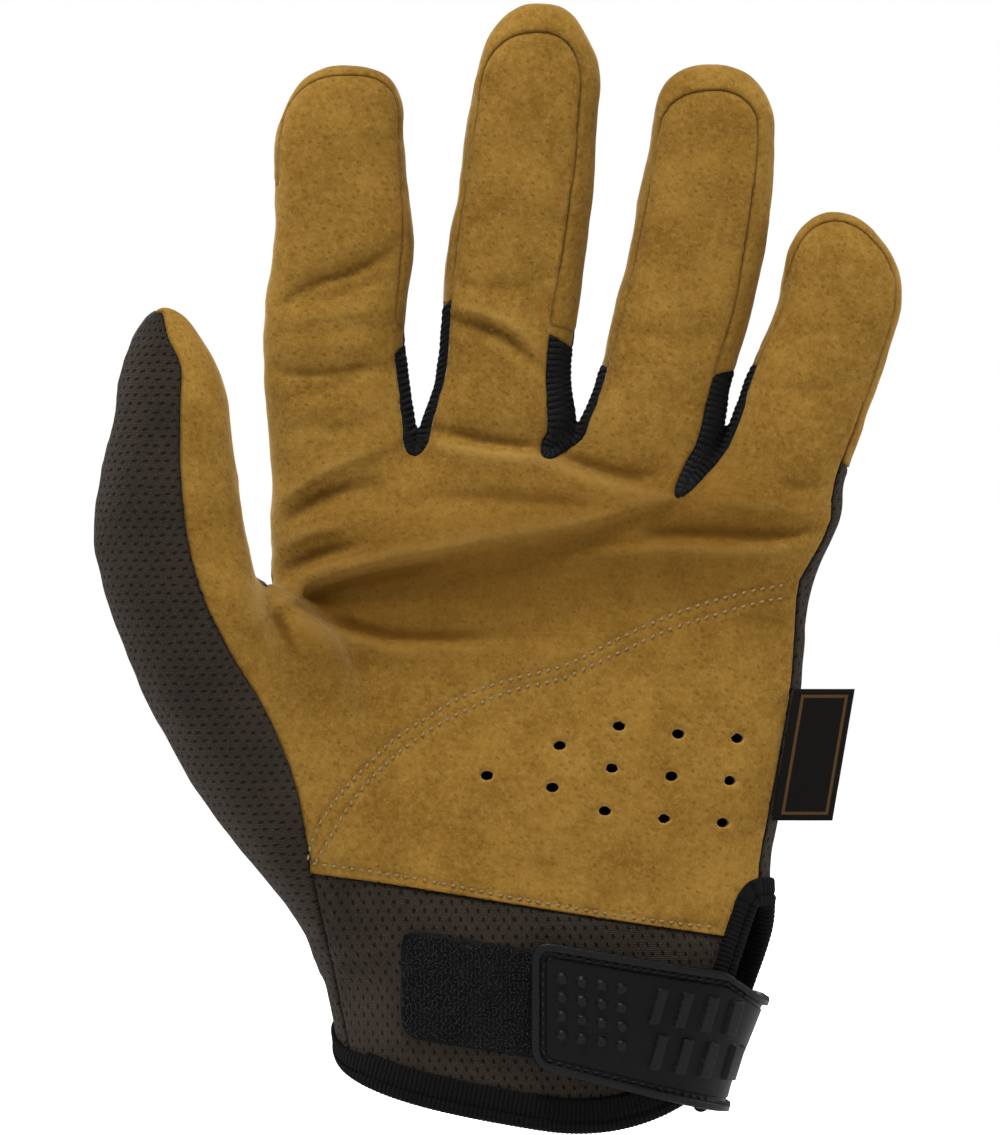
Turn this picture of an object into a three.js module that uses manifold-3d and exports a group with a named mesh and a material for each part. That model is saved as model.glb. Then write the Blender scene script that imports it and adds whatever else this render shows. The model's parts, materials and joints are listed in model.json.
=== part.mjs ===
// A left-hand work glove, filled out as if worn: fingers up (+Z), palm towards -Y, thumb towards -X.
// Sizes are in millimetres. The origin is the centre of the wrist opening.
// Every limb is a stack of level sections. The outer limbs less the inner limbs leave one hollow wall,
// which seams then divide into the separate pieces that a glove is sewn from.
import * as THREE from 'three';
import { mergeVertices } from 'three/addons/utils/BufferGeometryUtils.js';
import Module from 'manifold-3d';

const wasm = await Module();
wasm.setup();

// Wall and seams
const wall = 1.8;             // thickness of the leather and cloth walls
const seamGap = 0.3;          // clearance between two neighbouring pieces

// Palm and wrist
const palmWidth = 118;
const palmDepth = 36;
const palmTop = 144;          // height of the webs between the fingers
const hemLeft = 48.8;         // lower edge of the palm leather at the thumb side
const hemRight = 34.4;        // and at the little finger side
const cuffDrop = 7.6;         // how far the front of the cuff hangs below its sides
const cuffRise = 7;           // how far its thumb side stands above its middle
const cuffBandHeight = 7.5;
const tapeProud = 1;          // how far a binding stands proud of the wall, inside and out
const ventTop = 41;           // top of the slit at the wrist
const ventTape = 6;           // width of the tape round it
const ventBack = 2;           // depth where the slit's rear edge lies
const ventEdge = palmWidth * 0.457;   // the slit's front edge at its top
const ventLean = 0.33;        // how far that edge leans in for each step down
const wristLean = 0.2;        // the same for the seam at the thumb side of the wrist

// Fingers and thumb: root and tip places, full width and depth.
// lean is how far a tip stands beside its root.
const fingerRoot = 108;
const fingerCurl = 8;         // how far the middle fingertip leans towards the palm side
const fingerDepth = 21.5;
const sideHalf = fingerDepth * 0.21;  // half the depth of a finger's side wall
const indexTip = 228.4;
const indexRootX = palmWidth * -0.318;
const indexLean = 0;
const indexWidth = 31;
const middleTip = 242.3;
const middleRootX = palmWidth * -0.055;
const middleLean = 11.7;
const middleWidth = 30.5;
const ringTip = 229.5;
const ringRootX = palmWidth * 0.1865;
const ringLean = 23.5;
const ringWidth = 30;
const littleTip = 196.4;
const littleRootX = palmWidth * 0.39;
const littleLean = 28.5;
const littleWidth = 30;
const thumbRoot = 28;
const thumbTip = 173.5;
const thumbRootX = palmWidth * -0.28;
const thumbLean = -45;
const thumbWidth = 33;
const thumbDepth = 29;
const thumbReach = 37;        // how far the thumb's tip stands forward of the palm's middle
const webTop = 113;           // height of the web between thumb and palm

// Closure, patch and label
const patch = {
  left: -25.5, right: 22, top: 36, height: 24, topSlope: -0.153, footSlope: -0.153, thickness: 1.3, corner: 4,
};
const tab = {
  left: 3.5, right: 23, top: 34, height: 28.5, thickness: 2.4, corner: 4.5,
  topSlope: -0.174, footSlope: -0.258,
  side: palmWidth * 0.47,     // where it turns round the little finger side
  rise: 0.35,                 // how far it climbs behind, as a share of its height
};
const relief = { height: 0.7, rim: 2 };
const studs = { rows: 4, columns: 4, radius: 1.1, pitch: 4.4, rowDrop: 0.95, left: 1.55, top: 2 };
const bars = { rows: 2, columns: 4, width: 2.6, height: 8, pitch: 5.6, rowDrop: 1.28, lean: 0.3 };
const label = {
  width: 13.6, height: 29.5, top: 89.2, slant: 0.17, thickness: 0.9, depth: -6.5,
  caught: 0.12,               // the share of its width that is caught in the seam
};
const holeRadius = 1.3;       // vent holes in the palm
const holePitch = 13.3;

// How finely a limb is faceted: points round its palm side and its back, and the height between sections
const facets = { palm: [14, 6], finger: [6, 4], thumb: [7, 5] };
const step = { palm: 10, finger: 22, thumb: 16 };
const capShares = [0, 0.5, 0.85];
const outlineShares = [0, 0.5, 0.8, 0.95];
const curtainSteps = 9;
const liningShare = 0.75;     // how finely the inside of the fingers is faceted beside their outside
const far = 150;

// Fingers. capFrom is the share of the height where the tip starts to round, and capPower how square it is.
// In each section, at is the share of the height from root to tip; shift and half are shares of the width;
// deep is half the depth as a share of the depth.
const fingers = {
  index: {
    root: fingerRoot, tip: indexTip, rootX: indexRootX, lean: indexLean, width: indexWidth,
    capFrom: 0.86, capPower: 2.7,
    rows: [
      { at: 0.00, shift: 0.00, half: 0.46, deep: 0.46 },
      { at: 0.29, shift: -0.03, half: 0.545, deep: 0.53 },
      { at: 0.48, shift: -0.10, half: 0.515, deep: 0.50 },
      { at: 0.70, shift: -0.03, half: 0.50, deep: 0.49 },
      { at: 0.86, shift: -0.05, half: 0.47, deep: 0.46 },
      { at: 1.00, shift: 0.02, half: 0.43, deep: 0.44 },
    ],
  },
  middle: {
    root: fingerRoot, tip: middleTip, rootX: middleRootX, lean: middleLean, width: middleWidth,
    capFrom: 0.84, capPower: 2.4,
    rows: [
      { at: 0.00, shift: 0.00, half: 0.46, deep: 0.46 },
      { at: 0.29, shift: -0.03, half: 0.58, deep: 0.53 },
      { at: 0.38, shift: -0.02, half: 0.50, deep: 0.51 },
      { at: 0.50, shift: -0.02, half: 0.495, deep: 0.50 },
      { at: 0.60, shift: 0.00, half: 0.51, deep: 0.50 },
      { at: 0.84, shift: 0.04, half: 0.472, deep: 0.47 },
      { at: 1.00, shift: 0.00, half: 0.45, deep: 0.45 },
    ],
  },
  ring: {
    root: fingerRoot, tip: ringTip, rootX: ringRootX, lean: ringLean, width: ringWidth,
    capFrom: 0.87, capPower: 2.2,
    rows: [
      { at: 0.00, shift: 0.00, half: 0.46, deep: 0.46 },
      { at: 0.32, shift: 0.02, half: 0.545, deep: 0.53 },
      { at: 0.40, shift: 0.05, half: 0.51, deep: 0.51 },
      { at: 0.54, shift: 0.10, half: 0.51, deep: 0.50 },
      { at: 0.70, shift: 0.10, half: 0.495, deep: 0.49 },
      { at: 0.87, shift: 0.06, half: 0.462, deep: 0.46 },
      { at: 1.00, shift: -0.05, half: 0.45, deep: 0.45 },
    ],
  },
  little: {
    root: fingerRoot, tip: littleTip, rootX: littleRootX, lean: littleLean, width: littleWidth,
    capFrom: 0.78, capPower: 1.95,
    rows: [
      { at: 0.00, shift: 0.06, half: 0.50, deep: 0.44 },
      { at: 0.20, shift: 0.14, half: 0.56, deep: 0.50 },
      { at: 0.30, shift: 0.10, half: 0.535, deep: 0.51 },
      { at: 0.45, shift: 0.14, half: 0.505, deep: 0.50 },
      { at: 0.60, shift: 0.15, half: 0.50, deep: 0.47 },
      { at: 0.78, shift: 0.16, half: 0.46, deep: 0.45 },
      { at: 1.00, shift: -0.10, half: 0.42, deep: 0.42 },
    ],
  },
};

// The thumb also leans forward: reach is its middle's place in depth, as a share of thumbReach.
const thumbRows = [
  { at: 0.00, shift: 0.00, half: 0.28, deep: 0.30, reach: 0.12 },
  { at: 0.11, shift: -0.12, half: 0.34, deep: 0.40, reach: 0.22 },
  { at: 0.235, shift: -0.30, half: 0.43, deep: 0.48, reach: 0.38 },
  { at: 0.36, shift: -0.41, half: 0.478, deep: 0.50, reach: 0.53 },
  { at: 0.48, shift: -0.455, half: 0.505, deep: 0.50, reach: 0.67 },
  { at: 0.635, shift: -0.43, half: 0.512, deep: 0.49, reach: 0.80 },
  { at: 0.76, shift: -0.28, half: 0.447, deep: 0.47, reach: 0.89 },
  { at: 0.86, shift: -0.12, half: 0.385, deep: 0.42, reach: 0.95 },
  { at: 1.00, shift: 0.02, half: 0.38, deep: 0.36, reach: 1.00 },
];

// The web between thumb and palm, as shares of webTop, thumbWidth and palmDepth
const webRows = [
  { at: 0.30, x: -0.97, half: 0.28, y: -0.22, deep: 0.18 },
  { at: 0.50, x: -1.24, half: 0.48, y: -0.30, deep: 0.30 },
  { at: 0.70, x: -1.45, half: 0.52, y: -0.34, deep: 0.33 },
  { at: 0.87, x: -1.58, half: 0.44, y: -0.38, deep: 0.37 },
  { at: 1.00, x: -1.70, half: 0.32, y: -0.42, deep: 0.38 },
];

// Palm and wrist: shares of palmTop, palmWidth and palmDepth
const palmRows = [
  { at: -0.13, left: 0.330, right: 0.340, front: 0.52, back: 0.50 },
  { at: 0.00, left: 0.335, right: 0.375, front: 0.55, back: 0.52 },
  { at: 0.07, left: 0.340, right: 0.410, front: 0.57, back: 0.53 },
  { at: 0.15, left: 0.360, right: 0.447, front: 0.57, back: 0.51 },
  { at: 0.25, left: 0.390, right: 0.482, front: 0.54, back: 0.47 },
  { at: 0.34, left: 0.412, right: 0.483, front: 0.52, back: 0.45 },
  { at: 0.42, left: 0.424, right: 0.500, front: 0.51, back: 0.43 },
  { at: 0.52, left: 0.440, right: 0.523, front: 0.49, back: 0.42 },
  { at: 0.63, left: 0.450, right: 0.545, front: 0.46, back: 0.41 },
  { at: 0.74, left: 0.457, right: 0.553, front: 0.46, back: 0.40 },
  { at: 0.84, left: 0.460, right: 0.556, front: 0.48, back: 0.38 },
  { at: 1.00, left: 0.455, right: 0.545, front: 0.46, back: 0.34 },
];

// Folds on the palm side. Each runs from, via and to places in shares of palmWidth across and palmTop up.
// lift, above and below are shares of palmDepth: its height, out of the palm if positive, and its spread
// each way.
const folds = [
  { name: 'palm_roll', from: [-0.42, 0.755], via: [-0.257, 0.827], to: [0.315, 0.91],
    lift: 0.09, above: 0.17, below: 0.12 },
  { name: 'palm_valley', from: [-0.41, 0.735], via: [-0.20, 0.775], to: [0.22, 0.76],
    lift: -0.11, above: 0.13, below: 0.24 },
  { name: 'thumb_ridge', from: [-0.47, 0.76], via: [-0.33, 0.65], to: [0.10, 0.675],
    lift: 0.11, above: 0.12, below: 0.55 },
  { name: 'upper_valley', from: [-0.34, 0.83], via: [-0.12, 0.90], to: [0.24, 0.935],
    lift: -0.06, above: 0.17, below: 0.12 },
  { name: 'little_crease', from: [0.20, 0.85], via: [0.40, 0.845], to: [0.57, 0.852],
    lift: -0.07, above: 0.17, below: 0.10 },
  { name: 'little_ridge', from: [0.17, 0.825], via: [0.38, 0.81], to: [0.56, 0.82],
    lift: 0.05, above: 0.10, below: 0.25 },
  { name: 'web_pocket', from: [-0.465, 0.755], via: [-0.455, 0.69], to: [-0.42, 0.61],
    lift: -0.10, above: 0.16, below: 0.16 },
];

// Seam between the thumb's mesh side and its leather. side is its place across the thumb, from -1 to 1.
const thumbSeam = [
  { at: -0.20, side: -1.0 },
  { at: 0.10, side: -0.45 },
  { at: 0.145, side: -0.02 },
  { at: 0.235, side: 0.45 },
  { at: 0.31, side: 0.61 },
  { at: 0.395, side: 0.60 },
  { at: 0.48, side: 0.42 },
  { at: 0.56, side: 0.29 },
  { at: 0.65, side: 0.26 },
  { at: 0.76, side: 0.22 },
  { at: 0.85, side: 0.19 },
  { at: 0.91, side: 0.20 },
  { at: 0.96, side: -0.05 },
  { at: 1.05, side: -0.25 },
];

// Where that mesh side ends at the back: depth as a share of thumbReach
const thumbBackSeam = [
  { at: -0.30, depth: 0.08 },
  { at: 0.15, depth: 0.05 },
  { at: 0.36, depth: -0.30 },
  { at: 0.50, depth: -0.52 },
  { at: 0.635, depth: -0.68 },
  { at: 0.76, depth: -0.87 },
  { at: 0.86, depth: -0.99 },
  { at: 1.05, depth: -1.06 },
];

// Seams of the finger side walls in the front view. left, right and top are how far the seam lies inside the
// outline of the tip, and leftFoot and rightFoot the same at the root, as shares of fingerDepth. leftEnd and
// rightEnd are where the leather side wall gives way to the knit, as shares of the height from palmTop up.
const sideSeams = {
  index: {
    left: 0.042, right: 0.065, top: 0.09, leftFoot: 0.042, rightFoot: 0.14, leftEnd: 0.75, rightEnd: 0.24,
  },
  middle: {
    left: 0.06, right: 0.18, top: 0.31, leftFoot: 0.12, rightFoot: 0.30, leftEnd: 0.33, rightEnd: 0.25,
  },
  ring: {
    left: 0.07, right: 0.17, top: 0.31, leftFoot: 0.085, rightFoot: 0.23, leftEnd: 0.20, rightEnd: 0.18,
  },
  little: {
    left: 0.042, right: 0.075, top: 0.10, leftFoot: 0.075, rightFoot: 0.09, leftEnd: 0.34, rightEnd: -0.15,
  },
};

// The rounded foot of the knit between two fingers, in shares of fingerDepth: up is how far above palmTop it
// starts, drop how far it hangs from there, and lean how far its lowest point stands to one side.
const crotches = [
  { between: ['index', 'middle'], up: 0.15, drop: 0.26, lean: -0.03 },
  { between: ['middle', 'ring'], up: 0.12, drop: 0.26, lean: -0.18 },
  { between: ['ring', 'little'], up: -0.02, drop: 0.54, lean: -0.36 },
];

// Vent holes in leaning columns. In shares of holePitch: across is the column's place, and drop how far its
// top hole lies below the field's top. left and top of the field are shares of palmWidth and palmTop.
const holeColumns = [
  { count: 1, across: -0.22, drop: 0.83 },
  { count: 2, across: 1, drop: 0.32 },
  { count: 3, across: 2, drop: 0.00 },
  { count: 3, across: 3, drop: 0.14 },
  { count: 3, across: 4, drop: 0.22 },
];
const holeField = { left: -0.029, top: 0.564, rowDrop: 0.71, lean: -0.12 };

const clamp = THREE.MathUtils.clamp;
const lerp = THREE.MathUtils.lerp;

// A smooth curve through one column of a table, read at a place between its rows.
function read(rows, column, at) {
  const last = rows.length - 1;
  let i = 0;
  while (i < last - 1 && at > rows[i + 1].at) i++;
  const slope = (k) => {
    const a = rows[Math.max(k - 1, 0)];
    const b = rows[Math.min(k + 1, last)];
    return (b[column] - a[column]) / (b.at - a.at);
  };
  const p = rows[i];
  const q = rows[i + 1];
  const span = q.at - p.at;
  const t = clamp((at - p.at) / span, 0, 1);
  const t2 = t * t;
  const t3 = t2 * t;
  return (2 * t3 - 3 * t2 + 1) * p[column] + (t3 - 2 * t2 + t) * span * slope(i)
    + (3 * t2 - 2 * t3) * q[column] + (t3 - t2) * span * slope(i + 1);
}

// How much of its full size a rounded end keeps at a height.
function capScale(z, from, tip, power) {
  const t = clamp((z - from) / (tip - from), 0, 1);
  return (1 - t ** power) ** (1 / power);
}

// Limbs. section gives the centre and the half sizes at a height, with everything moved in by inset.
function fingerMiddle(z) {
  const share = clamp((z - fingerRoot) / (middleTip - fingerRoot), 0, 2);
  return -0.04 * palmDepth - fingerCurl * share ** 2;
}

function fingerLimb(f) {
  const height = f.tip - f.root;
  const capFrom = f.root + f.capFrom * height;
  const section = (z, inset) => {
    const at = (z - f.root) / height;
    const scale = capScale(z, capFrom, f.tip - inset, f.capPower);
    const half = (read(f.rows, 'half', at) * f.width - inset) * scale;
    const deep = (read(f.rows, 'deep', at) * fingerDepth - inset) * scale;
    const x = f.rootX + f.lean * at + read(f.rows, 'shift', at) * f.width;
    return { x, y: fingerMiddle(z), left: half, right: half, front: deep, back: deep };
  };
  return { ...f, capFrom, section, corner: 2.3, facets: facets.finger, step: step.finger };
}

const thumbAt = (z) => (z - thumbRoot) / (thumbTip - thumbRoot);
const thumbDepthAt = (z) => -read(thumbRows, 'reach', thumbAt(z)) * thumbReach;

const thumb = {
  root: thumbRoot, tip: thumbTip, capFrom: lerp(thumbRoot, thumbTip, 0.85), capPower: 1.65, corner: 2.2,
  facets: facets.thumb, step: step.thumb,
  section(z, inset) {
    const at = thumbAt(z);
    const scale = capScale(z, this.capFrom, thumbTip - inset, this.capPower);
    const half = (read(thumbRows, 'half', at) * thumbWidth - inset) * scale;
    const deep = (read(thumbRows, 'deep', at) * thumbDepth - inset) * scale;
    const x = thumbRootX + thumbLean * at + read(thumbRows, 'shift', at) * thumbWidth;
    return { x, y: thumbDepthAt(z), left: half, right: half, front: deep, back: deep };
  },
};

const web = {
  root: webTop * webRows[0].at, tip: webTop, capFrom: webTop * 0.86, capPower: 2, corner: 2.2,
  facets: facets.finger, step: step.thumb,
  section(z, inset) {
    const at = z / webTop;
    const scale = capScale(z, this.capFrom, webTop - inset, this.capPower);
    const half = (read(webRows, 'half', at) * thumbWidth - inset) * scale;
    const deep = (read(webRows, 'deep', at) * palmDepth - inset) * scale;
    const x = read(webRows, 'x', at) * thumbWidth;
    const y = read(webRows, 'y', at) * palmDepth;
    return { x, y, left: half, right: half, front: deep, back: deep };
  },
};

// The palm keeps its width up to the webs, where its depth closes in between the fingers.
const palm = {
  root: palmTop * (palmRows[0].at - 0.05), tip: palmTop, capFrom: palmTop * 0.87, capPower: 2, corner: 2.5,
  facets: facets.palm, step: step.palm,
  section(z, inset) {
    const at = z / palmTop;
    const scale = capScale(z, this.capFrom, palmTop - inset, this.capPower);
    const side = (column) => read(palmRows, column, at) * palmWidth - inset;
    const face = (column) => Math.max((read(palmRows, column, at) * palmDepth - inset) * scale, wall / 3);
    return { x: 0, y: 0, left: side('left'), right: side('right'), front: face('front'), back: face('back') };
  },
};

// A closed limb: rings of points round each level section, a flat foot and a point at the top.
function limbGeometry(limb, inset) {
  const tip = limb.tip - inset;
  const count = Math.ceil((limb.capFrom - limb.root) / limb.step);
  const levels = Array.from({ length: count }, (_, i) => lerp(limb.root, limb.capFrom, i / count));
  levels.push(...capShares.map((share) => lerp(limb.capFrom, tip, share)));
  const share = inset > 0 && limb !== palm ? liningShare : 1;
  const [front, back] = limb.facets.map((points) => Math.round(points * share));
  const angles = [];
  for (let k = 0; k < back; k++) angles.push((Math.PI * k) / back);
  for (let k = 0; k < front; k++) angles.push(Math.PI + (Math.PI * k) / front);
  const n = angles.length;
  const bow = (value) => Math.sign(value) * Math.abs(value) ** (2 / limb.corner);
  const positions = [];
  for (const z of levels) {
    const s = limb.section(z, inset);
    for (const a of angles) {
      const u = bow(Math.cos(a));
      const v = bow(Math.sin(a));
      positions.push(s.x + u * (u > 0 ? s.right : s.left), s.y + v * (v > 0 ? s.back : s.front), z);
    }
  }
  const index = [];
  for (let r = 0; r < levels.length - 1; r++) {
    for (let k = 0; k < n; k++) {
      const a = r * n + k;
      const b = r * n + ((k + 1) % n);
      index.push(a, b, b + n, a, b + n, a + n);
    }
  }
  const foot = limb.section(levels[0], inset);
  const top = limb.section(levels.at(-1), inset);
  const footPoint = positions.length / 3;
  const lastRing = (levels.length - 1) * n;
  positions.push(foot.x, foot.y, levels[0], top.x, top.y, tip);
  for (let k = 0; k < n; k++) {
    index.push(footPoint, (k + 1) % n, k);
    index.push(footPoint + 1, lastRing + k, lastRing + ((k + 1) % n));
  }
  const geometry = new THREE.BufferGeometry();
  geometry.setAttribute('position', new THREE.Float32BufferAttribute(positions, 3));
  geometry.setIndex(index);
  return geometry;
}

// Solids to join and cut, and back again.
function solid(geometry) {
  const bare = geometry.clone();
  bare.deleteAttribute('normal');
  bare.deleteAttribute('uv');
  const merged = mergeVertices(bare, 1e-4);
  const vertProperties = merged.attributes.position.array;
  const triVerts = new Uint32Array(merged.index.array);
  return new wasm.Manifold(new wasm.Mesh({ numProp: 3, vertProperties, triVerts }));
}

function geometryOf(made) {
  const mesh = made.getMesh();
  const geometry = new THREE.BufferGeometry();
  geometry.setAttribute('position', new THREE.BufferAttribute(new Float32Array(mesh.vertProperties), 3));
  geometry.setIndex(new THREE.BufferAttribute(new Uint32Array(mesh.triVerts), 1));
  return geometry;
}

const join = (solids) => solids.reduce((a, b) => a.add(b));

// Folds: how far a point of the palm side stands forward of the smooth form.
const foldLines = folds.map((f) => {
  const place = ([u, v]) => new THREE.Vector2(u * palmWidth, v * palmTop);
  const curve = new THREE.QuadraticBezierCurve(place(f.from), place(f.via), place(f.to));
  return { ...f, line: curve.getPoints(16) };
});

function foldLift(x, z) {
  const here = new THREE.Vector2(x, z);
  let lift = 0;
  for (const f of foldLines) {
    const distances = f.line.map((point) => point.distanceTo(here));
    const nearest = distances.indexOf(Math.min(...distances));
    const i = clamp(nearest, 1, f.line.length - 2);
    const along = f.line[i + 1].clone().sub(f.line[i - 1]);
    const above = along.cross(here.clone().sub(f.line[i])) > 0;
    const spread = (above ? f.above : f.below) * palmDepth;
    const fade = Math.sin(Math.PI * (0.1 + (0.8 * nearest) / (f.line.length - 1)));
    lift += f.lift * palmDepth * Math.exp(-((distances[nearest] / spread) ** 2)) * fade ** 0.5;
  }
  return lift;
}

function folded(made) {
  const geometry = geometryOf(made);
  const place = geometry.attributes.position;
  for (let i = 0; i < place.count; i++) {
    const y = place.getY(i);
    const onPalmSide = THREE.MathUtils.smoothstep(-y / palmDepth, 0.05, 0.25);
    if (onPalmSide > 0) place.setY(i, y - foldLift(place.getX(i), place.getZ(i)) * onPalmSide);
  }
  return solid(geometry);
}

// Cutters: an outline seen from the front and cut through in depth, and all that lies in front of a depth.
function frontCut(points, from = -far, to = far) {
  const shape = points.getPoints ? points : new THREE.Shape(points.map(([x, z]) => new THREE.Vector2(x, z)));
  const settings = { depth: to - from, bevelEnabled: false, curveSegments: 3 };
  const geometry = new THREE.ExtrudeGeometry(shape, settings);
  return solid(geometry.rotateX(Math.PI / 2).translate(0, to, 0));
}

const sideways = new THREE.Matrix4().makeBasis(
  new THREE.Vector3(0, 1, 0), new THREE.Vector3(0, 0, 1), new THREE.Vector3(1, 0, 0));

function inFrontOf(depthAt, { xTo = far, zFrom = -far / 2 } = {}) {
  const xFrom = -far;
  const zTo = middleTip + far / 4;
  const points = [new THREE.Vector2(-far, zTo), new THREE.Vector2(-far, zFrom)];
  for (let i = 0; i <= curtainSteps; i++) {
    const z = lerp(zFrom, zTo, i / curtainSteps);
    points.push(new THREE.Vector2(depthAt(z), z));
  }
  const settings = { depth: xTo - xFrom, bevelEnabled: false };
  const geometry = new THREE.ExtrudeGeometry(new THREE.Shape(points), settings);
  return solid(geometry.applyMatrix4(sideways).translate(xFrom, 0, 0));
}

function heights(from, to, count) {
  return Array.from({ length: count + 1 }, (_, i) => lerp(from, to, i / count));
}

// A band seen from the front: straight sloping edges, with round corners at its left end.
function bandShape({ left, top, height, corner, topSlope, footSlope }, right, grow = 0) {
  const radius = corner + grow;
  const topAt = (x) => top + topSlope * (x - left) + grow;
  const footAt = (x) => top - height + footSlope * (x - left) - grow;
  const start = left - grow;
  const shape = new THREE.Shape();
  shape.moveTo(right, topAt(right));
  shape.lineTo(start + radius, topAt(start + radius));
  shape.quadraticCurveTo(start, topAt(start), start, topAt(start) - radius);
  shape.lineTo(start, footAt(start) + radius);
  shape.quadraticCurveTo(start, footAt(start), start + radius, footAt(start + radius));
  shape.lineTo(right, footAt(right));
  return shape;
}

// The hollow wall of the whole glove
const limbs = Object.fromEntries(Object.entries(fingers).map(([name, f]) => [name, fingerLimb(f)]));
const allLimbs = [palm, ...Object.values(limbs), thumb, web];
const hull = (inset) => folded(join(allLimbs.map((limb) => solid(limbGeometry(limb, inset)))));
const palmAt = (offset) => solid(limbGeometry(palm, -offset));
const outer = hull(0);

// The wrist's edge lies in a tilted plane through the origin. belowCuff is all that lies under it, raised.
const cuffPlane = new THREE.Vector3(
  cuffRise / (palmRows[1].left * palmWidth), -cuffDrop / (palmRows[1].front * palmDepth), 1).normalize();

function belowCuff(raise) {
  const turn = new THREE.Quaternion().setFromUnitVectors(new THREE.Vector3(0, 0, 1), cuffPlane);
  const geometry = new THREE.BoxGeometry(2 * far, 2 * far, far).translate(0, 0, -far / 2);
  return solid(geometry.applyQuaternion(turn).translate(0, 0, raise));
}

// The slit at the little finger side of the wrist, seen from the front.
// Its front edge leans in as it goes down.
function slitCut(grow) {
  const foot = -far / 4;
  const footX = ventEdge - ventLean * (ventTop - foot) - grow;
  return frontCut([
    [ventEdge - grow, ventTop + grow],
    [footX, foot],
    [far, foot],
    [far, ventTop + grow],
  ], -far, ventBack + grow);
}

const slit = slitCut(0);
const tapeWall = palmAt(tapeProud).subtract(palmAt(-wall - tapeProud));
const cuffBand = belowCuff(cuffBandHeight).subtract(belowCuff(0));
const cuffBinding = tapeWall.intersect(cuffBand).subtract(slit);
const ventBand = slitCut(ventTape).subtract(slit);
const ventBinding = tapeWall.intersect(ventBand).subtract(belowCuff(cuffBandHeight + seamGap));

// What is left of the wall, from which each piece is cut in turn; the rest stays a seam gap clear of it.
let rest = outer.subtract(hull(wall))
  .subtract(belowCuff(cuffBandHeight + seamGap))
  .subtract(slitCut(ventTape + seamGap));

function mainBody(made) {
  return made.decompose().reduce((best, body) => (body.volume() > best.volume() ? body : best));
}

function sew(region) {
  const piece = mainBody(rest.intersect(region(0)));
  rest = rest.subtract(region(seamGap));
  return piece;
}

// Thumb side: left of the thumb's seam, and in front of where the mesh ends at the back.
const overThumb = thumbTip * 1.035;
const overHem = hemLeft * 1.08;

function thumbSeamX(z) {
  const s = thumb.section(clamp(z, thumbRoot, thumb.capFrom), 0);
  return s.x + read(thumbSeam, 'side', thumbAt(z)) * s.left;
}

function thumbSideRegion(g) {
  const wristX = (z) => thumbSeamX(hemLeft) + wristLean * (hemLeft - z) + g;
  const wristSeam = heights(-far / 4, hemLeft, 3).map((z) => [wristX(z), z]);
  const seam = heights(overHem, overThumb, 14).map((z) => [thumbSeamX(z) + g, z]);
  const left = frontCut([[-far, -far / 4], ...wristSeam, ...seam, [-far, overThumb]]);
  return left.intersect(inFrontOf((z) => read(thumbBackSeam, 'depth', thumbAt(z)) * thumbReach + g));
}

// Back of the thumb: behind the leather, and outside the crease where the thumb leaves the hand.
const thumbBackFoot = lerp(thumbRoot, thumbTip, 0.46);
const creaseX = palmWidth * -0.483;

function thumbBackRegion(g, foot = thumbBackFoot) {
  const between = (z) => {
    const t = thumb.section(Math.min(z, thumb.capFrom), 0);
    const f = limbs.index.section(Math.max(z, fingerRoot), 0);
    return Math.max(creaseX, (t.x + t.right + f.x - f.left) / 2) + g;
  };
  const side = heights(foot - g, overThumb, 6).map((z) => [z < webTop ? creaseX + g : between(z), z]);
  const zone = frontCut([[-far, foot - g], ...side, [-far, overThumb]]);
  const leatherBack = thumbDepth * 0.17;
  return zone.subtract(inFrontOf((z) => thumbDepthAt(clamp(z, thumbRoot, thumbTip)) + leatherBack - g));
}

// Wrist front: below the hem of the palm leather.
const hemFrom = palmWidth * -0.387;
const hemTo = palmWidth * 0.383;
const hemAt = (x) => lerp(hemLeft, hemRight, (x - hemFrom) / (hemTo - hemFrom));

function wristRegion(g) {
  const below = frontCut([[-far, -far / 2], [far, -far / 2], [far, hemAt(far) + g], [-far, hemAt(-far) + g]]);
  return below.intersect(inFrontOf(() => g));
}

// Side walls of the fingers
const sideBack = [0, seamGap].map((g) => inFrontOf((z) => fingerMiddle(z) + sideHalf + g));
const nearSideBack = (g) => sideBack[g > 0 ? 1 : 0];

function seamInset(name, side, z) {
  const s = sideSeams[name];
  const share = clamp((z - palmTop) / (fingers[name].tip - palmTop), 0, 1) ** 0.7;
  return lerp(s[`${side}Foot`], s[side], share) * fingerDepth;
}

// Outline of a finger from the front, with its sides and tip moved in by functions of height.
function fingerOutline(name, leftFrom, rightFrom, insetOf, top) {
  const limb = limbs[name];
  const tip = limb.tip - top;
  const side = (sign, from, edge) => {
    const levels = [...heights(from, limb.capFrom, 3).slice(0, -1),
      ...outlineShares.map((share) => lerp(limb.capFrom, tip, share))];
    return levels.map((z) => {
      const s = limb.section(Math.min(z, limb.capFrom), 0);
      const reach = (s[edge] - insetOf(edge, z)) * capScale(z, limb.capFrom, tip, limb.capPower);
      return [limb.section(z, 0).x + sign * reach, z];
    });
  };
  return [...side(-1, leftFrom, 'left'), ...side(1, rightFrom, 'right').reverse()];
}

const endHeight = (name, end) => lerp(palmTop, fingers[name].tip, sideSeams[name][end]);

function tipWallRegion(name, g) {
  const leftEnd = endHeight(name, 'leftEnd') - 2 * g;
  const rightEnd = endHeight(name, 'rightEnd') - 2 * g;
  const top = sideSeams[name].top * fingerDepth + g;
  const foot = Math.min(leftEnd, rightEnd) - fingerDepth / 2;
  const outside = frontCut(fingerOutline(name, leftEnd, rightEnd, () => -wall, -fingerDepth / 3));
  const inside = frontCut(fingerOutline(name, foot, foot, (edge, z) => seamInset(name, edge, z) + g, top));
  return outside.subtract(inside).intersect(nearSideBack(g));
}

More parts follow.
